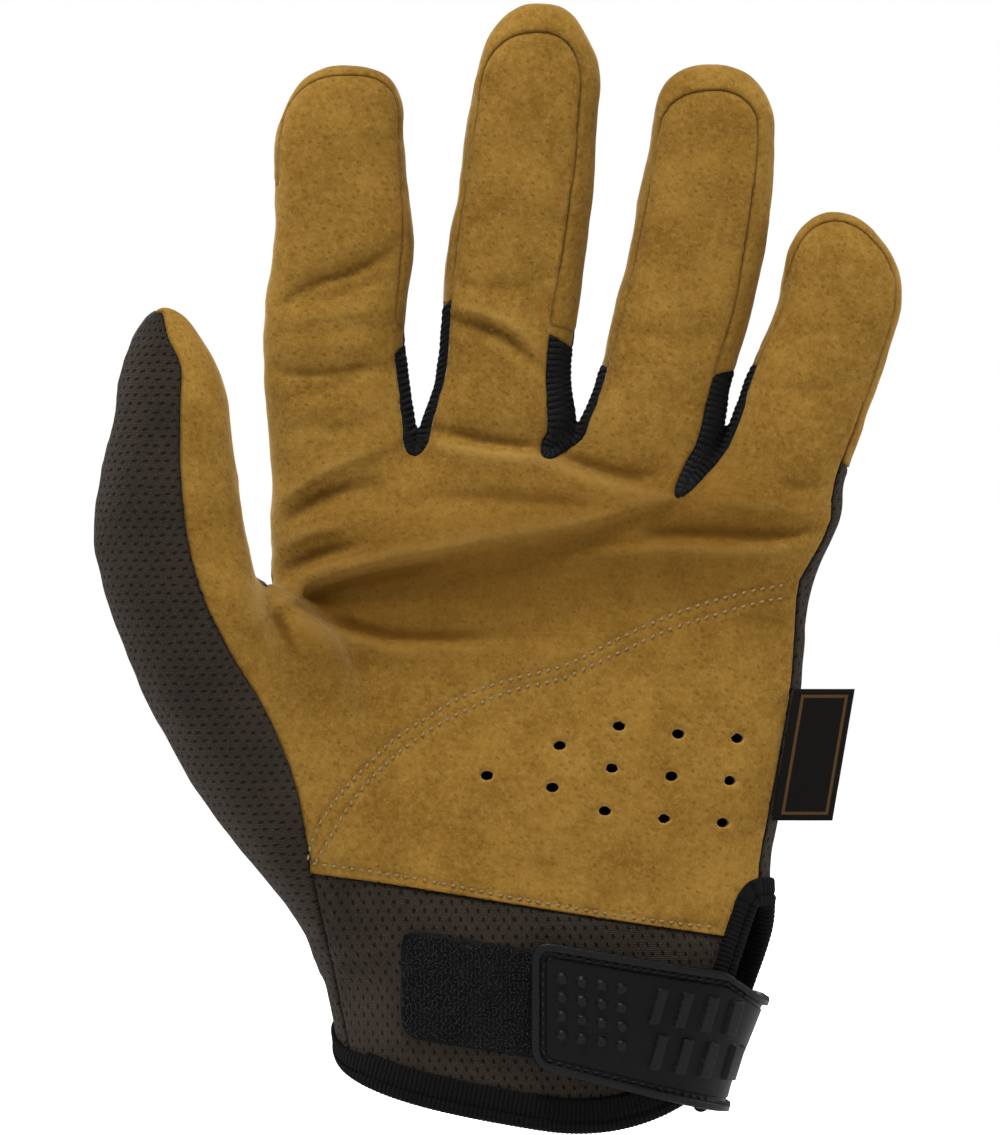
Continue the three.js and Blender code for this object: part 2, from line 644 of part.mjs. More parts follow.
function fourchetteRegion({ between: [a, b], up, drop, lean }, g) {
  const from = palmTop + up * fingerDepth;
  const rightOf = (z) => {
    const s = limbs[a].section(z, 0);
    return s.x + s.right - seamInset(a, 'right', z) - g;
  };
  const leftOf = (z) => {
    const s = limbs[b].section(z, 0);
    return s.x - s.left + seamInset(b, 'left', z) + g;
  };
  const down = heights(from, endHeight(a, 'rightEnd') + 2 * g, 3).reverse().map((z) => [rightOf(z), z]);
  const rise = heights(from, endHeight(b, 'leftEnd') + 2 * g, 3).map((z) => [leftOf(z), z]);
  const middle = (rightOf(from) + leftOf(from)) / 2;
  const half = (leftOf(from) - rightOf(from)) / 2;
  const foot = [0.25, 0.5, 0.75].map((share) => {
    const turn = Math.PI * share;
    const x = middle - half * Math.cos(turn) + lean * fingerDepth * Math.sin(turn);
    return [x, from - (drop * fingerDepth + g) * Math.sin(turn)];
  });
  return frontCut([...down, ...foot, ...rise]).intersect(nearSideBack(g));
}

// Palm leather: the palm side of everything, round the outer side of the index finger, and short of the
// little finger side by a margin.
function palmRegion(g) {
  const forward = inFrontOf((z) => fingerMiddle(z) - sideHalf / 2 + g);
  const besideIndex = { xTo: indexRootX, zFrom: palmTop * 0.82 };
  const indexSide = inFrontOf((z) => fingerMiddle(z) + sideHalf + g, besideIndex);
  const margin = palmWidth * 0.018;
  const edge = heights(-palmTop / 4, endHeight('little', 'rightEnd') + sideHalf, 9).map((z) => {
    const p = palm.section(Math.min(z, palm.capFrom), 0);
    const f = limbs.little.section(Math.max(z, fingerRoot), 0);
    return [Math.max(p.x + p.right, z > fingerRoot ? f.x + f.right : 0) - margin + g, z];
  });
  const top = middleTip + far / 4;
  const inside = frontCut([
    [-far, -far / 2], [edge[0][0], -far / 2], ...edge, [far, edge.at(-1)[1]], [far, top], [-far, top],
  ]);
  const front = forward.add(indexSide).intersect(inside);
  return front.subtract(thumbBackRegion(-g, thumbRoot));
}

const thumbSide = sew(thumbSideRegion);
const wrist = sew(wristRegion);
const fourchettes = crotches.map((crotch) => sew((g) => fourchetteRegion(crotch, g)));
const tipWalls = Object.keys(fingers).map((name) => sew((g) => tipWallRegion(name, g)));
const palmSkin = sew(palmRegion);
const thumbBack = sew(thumbBackRegion);
const back = mainBody(rest);

// Vent holes
const holes = [];
for (const column of holeColumns) {
  for (let row = 0; row < column.count; row++) {
    const x = holeField.left * palmWidth + (column.across + holeField.lean * row) * holePitch;
    const z = holeField.top * palmTop - (column.drop + holeField.rowDrop * row) * holePitch;
    holes.push(solid(new THREE.CylinderGeometry(holeRadius, holeRadius, far, 6).translate(x, -far / 2, z)));
  }
}
const palmPanel = palmSkin.subtract(join(holes));

// Loop patch, and the tab that closes over it and round the little finger side
function layer(from, thickness) {
  return palmAt(from + thickness).subtract(palmAt(from));
}

const patchFront = frontCut(bandShape(patch, patch.right), -far, 0);
const loopPatch = layer(seamGap, patch.thickness).intersect(patchFront);
const tabSeat = seamGap + patch.thickness + seamGap;
const tabFace = tabSeat + tab.thickness;
const topAtSide = tab.top + tab.topSlope * (tab.side - tab.left);
const footAtSide = tab.top - tab.height + tab.footSlope * (tab.side - tab.left);
const tabRise = tab.height * tab.rise;
const tabFront = frontCut(bandShape(tab, far), -far, 0);
const tabBack = frontCut([
  [tab.right, topAtSide + tabRise],
  [tab.right, footAtSide + tabRise],
  [tab.side, footAtSide],
  [far, footAtSide],
  [far, topAtSide],
  [tab.side, topAtSide],
], 0, far);
const tabBase = layer(tabSeat, tab.thickness).intersect(tabFront.add(tabBack));

// Rim, studs and slanted grip bars, raised on the tab's face
const firstStud = { x: tab.left + studs.left * studs.pitch, z: tab.top - studs.top * studs.pitch };

function rimShape() {
  const edge = frontCut(bandShape(tab, tab.side), -far, 0);
  return edge.subtract(frontCut(bandShape(tab, far, -relief.rim), -far, far));
}

function studShape(row, column) {
  const x = firstStud.x + column * studs.pitch;
  const z = firstStud.z - row * studs.pitch * studs.rowDrop + tab.topSlope * column * studs.pitch;
  return solid(new THREE.CylinderGeometry(studs.radius, studs.radius, far, 5).translate(x, -far / 2, z));
}

function barShape(row, column) {
  const x = firstStud.x + studs.columns * studs.pitch + bars.width / 2 + column * bars.pitch;
  const top = firstStud.z + studs.radius + tab.topSlope * (x - firstStud.x);
  const z = top - row * bars.height * bars.rowDrop;
  const lean = bars.height * bars.lean;
  const slope = tab.topSlope * bars.width;
  return frontCut([
    [x + lean, z],
    [x, z - bars.height],
    [x + bars.width, z - bars.height + slope],
    [x + bars.width + lean, z + slope],
  ], -far, 0);
}

function grid(table, shape) {
  const shapes = [];
  for (let row = 0; row < table.rows; row++) {
    for (let column = 0; column < table.columns; column++) shapes.push(shape(row, column));
  }
  return join(shapes);
}

const overlapDepth = 0.2;
const reliefShape = rimShape().add(grid(studs, studShape)).add(grid(bars, barShape));
const raised = layer(tabFace - overlapDepth, relief.height + overlapDepth).intersect(reliefShape);
const closureTab = mainBody(tabBase.add(raised));

// Woven label, standing out of the side seam
const labelX = palm.section(label.top, 0).right - label.width * label.caught;
const labelFoot = label.top - label.height;
const labelPlate = frontCut([
  [labelX, label.top], [labelX - label.slant * label.height, labelFoot],
  [labelX + label.width - label.slant * label.height, labelFoot], [labelX + label.width, label.top],
], label.depth - label.thickness / 2, label.depth + label.thickness / 2);
const sideLabel = mainBody(labelPlate.subtract(palmAt(seamGap)).subtract(limbClearance()));

function limbClearance() {
  return solid(limbGeometry(limbs.little, -seamGap));
}

// Materials
const material = (color, roughness) => new THREE.MeshStandardMaterial({ color, roughness, metalness: 0 });
const suede = material(0x93713a, 0.95);
const meshKnit = material(0x332c27, 0.9);
const smoothKnit = material(0x3a3a3c, 0.8);
const blackKnit = material(0x141414, 0.95);
const loopPile = material(0x151515, 1);
const rubber = material(0x1e1e1e, 0.55);
const woven = material(0x16130f, 0.85);

function piece(name, made, finish) {
  const geometry = geometryOf(made);
  geometry.computeVertexNormals();
  const mesh = new THREE.Mesh(geometry, finish);
  mesh.name = name;
  return mesh;
}

const group = (...members) => new THREE.Group().add(...members);

const glove = group(
  group(
    piece('palm_panel', palmPanel, suede),
    piece('back_panel', back, meshKnit),
    piece('thumb_side_panel', thumbSide, meshKnit),
    piece('thumb_back_panel', thumbBack, smoothKnit),
    piece('wrist_panel', wrist, meshKnit),
  ),
  group(
    ...Object.keys(fingers).map((name, i) => piece(`${name}_tip_wall`, tipWalls[i], suede)),
    ...crotches.map(({ between }, i) => piece(`fourchette_${between.join('_')}`, fourchettes[i], blackKnit)),
  ),
  group(
    piece('cuff_binding', cuffBinding, blackKnit),
    piece('vent_binding', ventBinding, blackKnit),
    piece('loop_patch', loopPatch, loopPile),
    piece('closure_tab', closureTab, rubber),
    piece('side_label', sideLabel, woven),
  ),
);

export default glove;
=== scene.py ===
import json
import math
import bpy
import numpy as np
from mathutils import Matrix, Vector
from mathutils.kdtree import KDTree

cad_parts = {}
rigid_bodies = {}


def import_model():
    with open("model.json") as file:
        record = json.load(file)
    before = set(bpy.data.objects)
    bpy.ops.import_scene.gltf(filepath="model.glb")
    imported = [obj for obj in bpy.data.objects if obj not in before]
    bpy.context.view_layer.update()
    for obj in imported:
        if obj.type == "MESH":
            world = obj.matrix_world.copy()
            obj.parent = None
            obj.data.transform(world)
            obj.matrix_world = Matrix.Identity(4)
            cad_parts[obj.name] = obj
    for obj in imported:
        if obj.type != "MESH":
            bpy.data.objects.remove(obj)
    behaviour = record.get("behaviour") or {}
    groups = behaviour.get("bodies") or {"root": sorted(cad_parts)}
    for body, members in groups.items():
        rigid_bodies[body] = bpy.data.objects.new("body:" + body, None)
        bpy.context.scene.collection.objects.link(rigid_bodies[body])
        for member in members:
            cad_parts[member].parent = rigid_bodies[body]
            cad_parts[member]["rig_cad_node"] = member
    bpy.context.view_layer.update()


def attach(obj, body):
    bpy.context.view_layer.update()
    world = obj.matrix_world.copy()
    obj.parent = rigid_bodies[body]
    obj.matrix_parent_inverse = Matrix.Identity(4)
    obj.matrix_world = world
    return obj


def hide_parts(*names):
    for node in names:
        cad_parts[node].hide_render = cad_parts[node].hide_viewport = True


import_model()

# Shapes are worked out in millimetres and scaled on the way into Blender.
mm = 0.001
far = 400.0
detail = {"cell": 1.0, "tabCell": 0.45, "seed": 11}

# Sizes of the glove, the same as the frame's: z up along the fingers, palm towards -y, thumb towards -x
palm = {"width": 118, "depth": 36, "top": 144, "corner": 2.5,
        # share of the height, then left, right, front and back as shares of width and depth
        "rows": [(-0.13, 0.330, 0.340, 0.52, 0.50), (0.00, 0.335, 0.375, 0.55, 0.52), (0.07, 0.340, 0.410, 0.57, 0.53),
                 (0.15, 0.360, 0.447, 0.57, 0.51), (0.25, 0.390, 0.482, 0.54, 0.47), (0.34, 0.412, 0.483, 0.52, 0.45),
                 (0.42, 0.424, 0.500, 0.51, 0.43), (0.52, 0.440, 0.523, 0.49, 0.42), (0.63, 0.450, 0.545, 0.46, 0.41),
                 (0.74, 0.457, 0.553, 0.46, 0.40), (0.84, 0.460, 0.556, 0.48, 0.38), (1.00, 0.455, 0.545, 0.46, 0.34)]}
wrist = {"hemLeft": 48.8, "hemRight": 34.4, "cuffDrop": 7.6, "cuffRise": 7, "band": 7.5, "proud": 1.0,
         "ventTop": 41, "ventTape": 6, "ventBack": 2, "ventEdge": 0.457, "ventLean": 0.33, "underTape": 2.5}
fingerRoot, fingerCurl, fingerDepth = 108, 8, 21.5
fingers = {
    "index": {"tip": 228.4, "rootX": -37.5, "tipX": -37.5, "width": 31, "capFrom": 0.86, "power": 2.7,
              "rows": [(0, 0, 0.46, 0.46), (0.29, -0.03, 0.545, 0.53), (0.48, -0.10, 0.515, 0.50),
                       (0.70, -0.03, 0.50, 0.49), (0.86, -0.05, 0.47, 0.46), (1, 0.02, 0.43, 0.44)]},
    "middle": {"tip": 242.3, "rootX": -6.5, "tipX": 5.2, "width": 30.5, "capFrom": 0.84, "power": 2.4,
               "rows": [(0, 0, 0.46, 0.46), (0.29, -0.03, 0.58, 0.53), (0.38, -0.02, 0.50, 0.51),
                        (0.50, -0.02, 0.495, 0.50), (0.60, 0, 0.51, 0.50), (0.84, 0.04, 0.472, 0.47),
                        (1, 0, 0.45, 0.45)]},
    "ring": {"tip": 229.5, "rootX": 22, "tipX": 45.5, "width": 30, "capFrom": 0.87, "power": 2.2,
             "rows": [(0, 0, 0.46, 0.46), (0.32, 0.02, 0.545, 0.53), (0.40, 0.05, 0.51, 0.51),
                      (0.54, 0.10, 0.51, 0.50), (0.70, 0.10, 0.495, 0.49), (0.87, 0.06, 0.462, 0.46),
                      (1, -0.05, 0.45, 0.45)]},
    "little": {"tip": 196.4, "rootX": 46, "tipX": 74.5, "width": 30, "capFrom": 0.78, "power": 1.95,
               "rows": [(0, 0.06, 0.50, 0.44), (0.20, 0.14, 0.56, 0.50), (0.30, 0.10, 0.535, 0.51),
                        (0.45, 0.14, 0.505, 0.50), (0.60, 0.15, 0.50, 0.47), (0.78, 0.16, 0.46, 0.45),
                        (1, -0.10, 0.42, 0.42)]},
}
thumb = {"root": 28, "tip": 173.5, "rootX": -33, "tipX": -78, "width": 33, "depth": 29, "reach": 37,
         "capFrom": 0.85, "power": 1.65,
         # share of the height, then shift, half width, half depth and reach forward
         "rows": [(0, 0, 0.28, 0.30, 0.12), (0.11, -0.12, 0.34, 0.40, 0.22), (0.235, -0.30, 0.43, 0.48, 0.38),
                  (0.36, -0.41, 0.478, 0.50, 0.53), (0.48, -0.455, 0.505, 0.50, 0.67),
                  (0.635, -0.43, 0.512, 0.49, 0.80), (0.76, -0.28, 0.447, 0.47, 0.89),
                  (0.86, -0.12, 0.385, 0.42, 0.95), (1, 0.02, 0.38, 0.36, 1.00)]}
web = {"top": 113,
       "rows": [(0.30, -0.97, 0.28, -0.22, 0.18), (0.50, -1.24, 0.48, -0.30, 0.30), (0.70, -1.45, 0.52, -0.34, 0.33),
                (0.87, -1.58, 0.44, -0.38, 0.37), (1.00, -1.70, 0.32, -0.42, 0.38)]}
walls = {"thickness": 1.5, "seamDip": 0.75, "seamWidth": 1.3}


def table(rows, column, at):
    # a smooth curve through one column, read between the rows
    rows = np.asarray(rows, float)
    a, v = rows[:, 0], rows[:, column]
    before = np.maximum(np.arange(len(a)) - 1, 0)
    after = np.minimum(np.arange(len(a)) + 1, len(a) - 1)
    slope = (v[after] - v[before]) / (a[after] - a[before])
    at = np.asarray(at, float)
    i = np.clip(np.searchsorted(a, at, side="right") - 1, 0, len(a) - 2)
    span = a[i + 1] - a[i]
    t = np.clip((at - a[i]) / span, 0, 1)
    t2, t3 = t * t, t * t * t
    return ((2 * t3 - 3 * t2 + 1) * v[i] + (t3 - 2 * t2 + t) * span * slope[i]
            + (3 * t2 - 2 * t3) * v[i + 1] + (t3 - t2) * span * slope[i + 1])


def smoothStep(x, low, high):
    t = np.clip((x - low) / (high - low), 0, 1)
    return t * t * (3 - 2 * t)


def mix(a, b, t):
    return a + (b - a) * t


def smoothMin(a, b, k):
    h = np.clip(0.5 + 0.5 * (b - a) / k, 0, 1)
    return mix(b, a, h) - k * h * (1 - h)


def fingerMiddle(z):
    middleTip = fingers["middle"]["tip"]
    return -0.04 * palm["depth"] - fingerCurl * np.clip((z - fingerRoot) / (middleTip - fingerRoot), 0, 2) ** 2


def fingerSection(name, z):
    f = fingers[name]
    at = (z - fingerRoot) / (f["tip"] - fingerRoot)
    x = mix(f["rootX"], f["tipX"], at) + table(f["rows"], 1, at) * f["width"]
    half = table(f["rows"], 2, at) * f["width"]
    deep = table(f["rows"], 3, at) * fingerDepth
    return x, fingerMiddle(z), half, half, deep, deep


def thumbAt(z):
    return (z - thumb["root"]) / (thumb["tip"] - thumb["root"])


def thumbDepthAt(z):
    return -table(thumb["rows"], 4, thumbAt(z)) * thumb["reach"]


def thumbSection(z):
    at = thumbAt(z)
    x = mix(thumb["rootX"], thumb["tipX"], at) + table(thumb["rows"], 1, at) * thumb["width"]
    half = table(thumb["rows"], 2, at) * thumb["width"]
    deep = table(thumb["rows"], 3, at) * thumb["depth"]
    return x, thumbDepthAt(z), half, half, deep, deep


def webSection(z):
    at = z / web["top"]
    half = table(web["rows"], 2, at) * thumb["width"]
    deep = table(web["rows"], 4, at) * palm["depth"]
    x = table(web["rows"], 1, at) * thumb["width"]
    return x, table(web["rows"], 3, at) * palm["depth"], half, half, deep, deep


def palmSection(z):
    at = z / palm["top"]
    side = [table(palm["rows"], c, at) * palm["width"] for c in (1, 2)]
    face = [table(palm["rows"], c, at) * palm["depth"] for c in (3, 4)]
    return 0 * side[0], 0 * side[0], side[0], side[1], face[0], face[1]


# A limb: its section, root and tip, where its end starts to round, how square that end and its sections are
limbs = {
    "palm": (palmSection, palm["top"] * -0.18, palm["top"], palm["top"] * 0.87, 2, palm["corner"], True),
    "thumb": (thumbSection, thumb["root"], thumb["tip"],
              mix(thumb["root"], thumb["tip"], thumb["capFrom"]), thumb["power"], 2.2, False),
    "web": (webSection, web["top"] * 0.3, web["top"], web["top"] * 0.86, 2, 2.2, False),
}
for fingerName, f in fingers.items():
    limbs[fingerName] = ((lambda z, name=fingerName: fingerSection(name, z)), fingerRoot, f["tip"],
                         mix(fingerRoot, f["tip"], f["capFrom"]), f["power"], 2.3, False)


def limbDistance(name, x, y, z, grow=0.0):
    section, root, tip, capFrom, power, corner, flatEnd = limbs[name]
    cx, cy, left, right, front, back = section(z)
    a = np.where(x > cx, right, left) + grow
    b = np.where(y > cy, back, front) + grow
    u = np.abs(x - cx) / a
    v = np.abs(y - cy) / b
    t = np.maximum(z - capFrom, 0) / (tip + grow - capFrom)
    if flatEnd:
        v = np.sqrt(v * v + t * t)
        t = 0 * t
    n = np.maximum((u ** corner + v ** corner) ** (1 / corner), 1e-3)
    whole = (n ** power + t ** power) ** (1 / power)
    slope = n ** (1 - corner) * np.sqrt((u ** (corner - 1) / a) ** 2 + (v ** (corner - 1) / b) ** 2)
    slope = np.sqrt(((n / whole) ** (power - 1) * slope) ** 2
                    + ((t / whole) ** (power - 1) / (tip + grow - capFrom)) ** 2)
    return np.maximum((whole - 1) / np.maximum(slope, 0.6 / np.maximum(a, b)), root - z)


# Folds and creases of the palm side, from the front in mm: points, height, and spread above and below
folds = [
    # the roll across the palm, the crease under it and the ridge that runs in from the thumb
    ([(-53.0, 107.0), (-49.7, 109.8), (-41.9, 114.0), (-34.2, 116.3), (-24.8, 118.3), (-10.9, 121.1)], 2.3, 6.5, 1.1),
    ([(-22.0, 119.0), (-10.9, 121.1), (1.6, 123.0), (12.4, 125.3), (23.3, 128.4), (34.2, 131.5), (38.0, 133.0)],
     1.9, 6.0, 1.2),
    ([(-51.5, 107.2), (-46.8, 109.6), (-41.2, 112.0), (-34.4, 113.9), (-26.4, 115.4), (-18.0, 117.0)], -1.2, 1.0, 3.6),
    ([(-36.0, 110.0), (-20.0, 112.5), (-8.0, 115.0), (8.0, 118.0), (24.0, 122.0)], -1.3, 4.0, 10.0),
    ([(-34.0, 96.0), (-8.0, 101.0), (22.0, 107.0), (50.0, 111.0)], -2.1, 17.0, 22.0),
    ([(-60.6, 113.7), (-55.9, 111.4), (-49.7, 107.5), (-45.0, 104.0), (-38.8, 101.3), (-31.1, 99.4)], 1.9, 1.2, 9.0),
    ([(-45.0, 104.0), (-38.8, 101.3), (-31.1, 99.4), (-21.7, 98.6), (-10.9, 98.5), (9.3, 98.1)], 1.2, 1.3, 12.0),
    ([(-50.0, 108.8), (-44.6, 105.2), (-38.6, 102.6), (-31.0, 100.8), (-21.0, 100.0), (-8.0, 100.0)], -0.9, 3.0, 0.9),
    # the pocket between thumb and palm
    ([(-59.0, 114.6), (-57.4, 109.5), (-55.6, 104.0), (-52.0, 96.0)], 0.8, 1.4, 7.0),
    ([(-55.0, 111.5), (-53.4, 106.0), (-51.0, 101.0), (-49.0, 96.0)], -1.5, 4.6, 1.7),
    # root of the index finger
    ([(-54.0, 129.6), (-50.4, 132.5), (-43.4, 137.0), (-36.0, 140.4), (-28.0, 143.2)], 1.1, 4.0, 1.2),
    ([(-53.0, 126.6), (-49.5, 128.6), (-44.3, 132.0), (-37.0, 134.6), (-28.0, 136.0)], -1.2, 1.6, 3.4),
    ([(-53.8, 119.6), (-50.5, 121.6), (-45.0, 124.0), (-38.0, 125.6)], 0.9, 3.4, 1.1),
    ([(-52.0, 115.6), (-47.0, 118.0), (-41.0, 120.2), (-33.0, 121.6)], -1.4, 1.6, 3.0),
    ([(-51.0, 111.8), (-45.0, 115.2), (-39.0, 117.4)], 0.5, 1.3, 1.0),
    # the crease under the fingers
    ([(-24.0, 146.2), (-13.8, 143.4), (-3.1, 141.8), (7.6, 140.6), (16.7, 136.5), (27.4, 133.4), (36.0, 131.2)],
     1.5, 1.0, 5.0),
    ([(-22.0, 148.6), (-12.0, 145.6), (-3.1, 143.8), (6.6, 142.8)], -1.1, 3.6, 1.2),
    ([(10.0, 141.6), (17.0, 138.8), (25.0, 136.8), (33.0, 137.2)], -1.5, 3.4, 1.3),
    ([(-28.0, 131.0), (-12.0, 132.4), (4.0, 131.4), (19.1, 129.4), (30.0, 129.0)], -1.5, 6.5, 3.0),
    # towards the little finger
    ([(12.0, 119.0), (24.0, 120.2), (35.3, 120.8), (47.5, 120.4), (57.1, 120.9), (67.0, 122.6)], 1.3, 0.9, 7.0),
    ([(28.0, 124.0), (42.0, 123.4), (52.0, 122.8), (60.0, 123.0), (68.0, 124.8)], -1.4, 4.0, 1.2),
    ([(40.0, 131.6), (50.0, 130.0), (60.0, 129.0), (68.0, 129.6)], 0.7, 3.5, 1.6),
    ([(58.0, 136.0), (63.0, 134.4), (69.0, 134.6)], -0.7, 1.8, 1.8),
    # across the index finger
    ([(-53.0, 174.6), (-44.3, 180.2), (-37.8, 182.0), (-29.9, 186.1), (-26.0, 189.5)], -1.3, 1.6, 2.2),
    ([(-47.0, 174.4), (-42.3, 176.2), (-34.4, 178.9), (-28.0, 181.4)], -0.6, 1.2, 1.2),
    ([(-54.5, 171.4), (-46.0, 171.8), (-36.0, 173.4), (-27.0, 174.4)], 0.8, 3.0, 3.0),
    ([(-55.0, 160.4), (-49.0, 159.6), (-41.0, 159.9), (-33.0, 161.2), (-26.5, 161.0)], -1.0, 1.5, 1.8),
    ([(-50.0, 154.0), (-44.0, 155.6), (-34.4, 159.0)], -0.7, 1.3, 1.3),
    ([(-54.5, 165.6), (-42.0, 166.0), (-28.0, 167.4)], 0.5, 2.6, 2.6),
    ([(-54.0, 145.4), (-46.0, 148.0), (-38.0, 147.6), (-30.0, 150.6)], -0.6, 2.2, 2.2),
    # across the middle, ring and little fingers
    ([(-15.5, 174.0), (-11.0, 173.4), (-6.8, 172.2), (-0.9, 169.4), (5.8, 163.4)], 1.0, 3.2, 0.9),
    ([(-15.5, 172.4), (-11.0, 171.6), (-6.8, 170.4), (-0.9, 167.4), (5.8, 161.2)], -1.0, 1.0, 3.2),
    ([(-16.0, 167.8), (-9.0, 167.0), (-3.0, 164.4), (3.0, 159.4)], 0.7, 2.6, 2.2),
    ([(-14.0, 180.4), (-5.0, 178.6), (4.0, 179.6), (11.0, 183.0)], -0.6, 2.2, 2.2),
    ([(20.5, 169.8), (29.0, 168.4), (38.0, 167.0), (46.0, 170.0)], -0.6, 2.4, 2.4),
    ([(24.0, 184.0), (33.0, 182.6), (43.0, 184.0), (51.0, 188.0)], -0.35, 2.8, 2.8),
    ([(52.0, 158.6), (60.0, 156.0), (70.0, 156.6), (80.0, 160.0)], -0.6, 2.8, 2.6),
    ([(58.0, 170.0), (66.0, 168.6), (76.0, 171.0)], -0.35, 2.6, 2.6),
    # soft drapes down the heel of the hand
    ([(-38.0, 58.0), (-22.0, 74.0), (0.0, 84.0), (24.0, 92.0)], -0.4, 5.0, 5.0),
    ([(62.0, 96.0), (52.0, 90.0), (44.0, 80.0)], -0.4, 4.0, 4.0),
]


def curveThrough(points, parts=6):
    # a smooth line through its points
    p = np.asarray(points, float)
    if len(p) < 3:
        return p
    p = np.vstack([2 * p[0] - p[1], p, 2 * p[-1] - p[-2]])
    out = []
    for i in range(1, len(p) - 2):
        for s in range(parts):
            t = s / parts
            out.append(0.5 * (2 * p[i] + (p[i + 1] - p[i - 1]) * t
                              + (2 * p[i - 1] - 5 * p[i] + 4 * p[i + 1] - p[i + 2]) * t * t
                              + (3 * p[i] - p[i - 1] - 3 * p[i + 1] + p[i + 2]) * t ** 3))
    return np.array(out + [p[-2]])


def alongLine(points, x, z):
    # distance from a line, its side (positive on its left), and how far along the nearest place is
    best = np.full(x.shape, 1e9)
    side = np.zeros(x.shape)
    place = np.zeros(x.shape)
    start = 0.0
    for p, q in zip(points[:-1], points[1:]):
        d = q - p
        length = math.hypot(*d)
        if length < 1e-9:
            continue
        t = np.clip(((x - p[0]) * d[0] + (z - p[1]) * d[1]) / length ** 2, 0, 1)
        dx, dz = x - p[0] - t * d[0], z - p[1] - t * d[1]
        dist = np.hypot(dx, dz)
        near = dist < best
        best = np.where(near, dist, best)
        side = np.where(near, d[0] * dz - d[1] * dx, side)
        place = np.where(near, start + t * length, place)
        start += length
    return best, side, place, start


def closedDistance(points, x, z):
    # signed distance from a closed outline, negative inside
    p = np.asarray(points, float)
    loop = np.vstack([p, p[:1]])
    dist = alongLine(loop, x, z)[0]
    inside = np.zeros(x.shape, bool)
    for (ax, az), (bx, bz) in zip(loop[:-1], loop[1:]):
        if az != bz:
            crosses = ((az > z) != (bz > z)) & (x < (bx - ax) * (z - az) / (bz - az) + ax)
            inside ^= crosses
    return np.where(inside, -dist, dist)


# The folds are laid out once on a fine sheet seen from the front, and read from it after that.
sheet = {"low": (-108.0, -34.0), "step": 0.5, "size": (410, 590)}
foldShape = {"height": 1.35, "round": 0.3, "power": 1.35}


def layFolds():
    gx = sheet["low"][0] + sheet["step"] * np.arange(sheet["size"][0])
    gz = sheet["low"][1] + sheet["step"] * np.arange(sheet["size"][1])
    x, z = np.meshgrid(gx, gz, indexing="ij")
    lift = np.zeros(x.shape)
    for points, height, above, below in folds:
        line = curveThrough(points)
        reach = 3 * max(above, below)
        i0, j0 = [max(int((line[:, k].min() - reach - sheet["low"][k]) / sheet["step"]), 0) for k in (0, 1)]
        i1, j1 = [int((line[:, k].max() + reach - sheet["low"][k]) / sheet["step"]) + 1 for k in (0, 1)]
        part = (slice(i0, i1), slice(j0, j1))
        dist, side, place, length = alongLine(line, x[part], z[part])
        fade = np.sin(math.pi * (0.06 + 0.88 * place / length)) ** 0.7
        spread = np.where(side > 0, above, below)
        lift[part] += foldShape["height"] * height * fade * np.exp(
            -(np.hypot(dist, foldShape["round"]) / spread) ** foldShape["power"])
    return lift


def softNoise(seed, spacing, shape=(44, 24, 60)):
    # a smooth random field in space, as a function of place
    lattice = np.random.default_rng(seed).uniform(-1, 1, shape)

    def at(x, y, z):
        p = [(c + 150) / spacing for c in (x, y, z)]
        i = [np.floor(c).astype(int) for c in p]
        t = [c - f for c, f in zip(p, i)]
        t = [c * c * c * (c * (c * 6 - 15) + 10) for c in t]
        total = 0
        for a in (0, 1):
            for b in (0, 1):
                for c in (0, 1):
                    corner = lattice[(i[0] + a) % shape[0], (i[1] + b) % shape[1], (i[2] + c) % shape[2]]
                    total = total + corner * ((t[0] if a else 1 - t[0]) * (t[1] if b else 1 - t[1])
                                              * (t[2] if c else 1 - t[2]))
        return total
    return at


foldSheet = layFolds()
slack = softNoise(detail["seed"], 13.0)
crinkle = softNoise(detail["seed"] + 1, 5.2)


def readSheet(x, z):
    p = (x - sheet["low"][0]) / sheet["step"]
    q = (z - sheet["low"][1]) / sheet["step"]
    i = np.clip(np.floor(p).astype(int), 0, sheet["size"][0] - 2)
    j = np.clip(np.floor(q).astype(int), 0, sheet["size"][1] - 2)
    s, t = p - i, q - j
    return ((foldSheet[i, j] * (1 - s) + foldSheet[i + 1, j] * s) * (1 - t)
            + (foldSheet[i, j + 1] * (1 - s) + foldSheet[i + 1, j + 1] * s) * t)


def hullDistance(x, y, z):
    # the whole glove with its folds; x, y and z may be arrays that broadcast
    lift = readSheet(x, z)
    front = smoothStep(-y, 1.8, 9.0)
    y = y + lift * front
    hand = limbDistance("palm", x, y, z)
    group = None
    for name in fingers:
        d = limbDistance(name, x, y, z)
        group = d if group is None else smoothMin(group, d, 1.6)
    hand = smoothMin(hand, group, 5.0)
    side = smoothMin(limbDistance("thumb", x, y, z), limbDistance("web", x, y, z), 9.0)
    whole = smoothMin(hand, side, 6.0)
    rough = 0.52 * slack(x, y, z) + 0.19 * crinkle(x, y, z)
    return whole + rough * smoothStep(z, 10, 40)


def palmDistance(x, y, z, grow=0.0):
    return limbDistance("palm", x, y, z, grow)


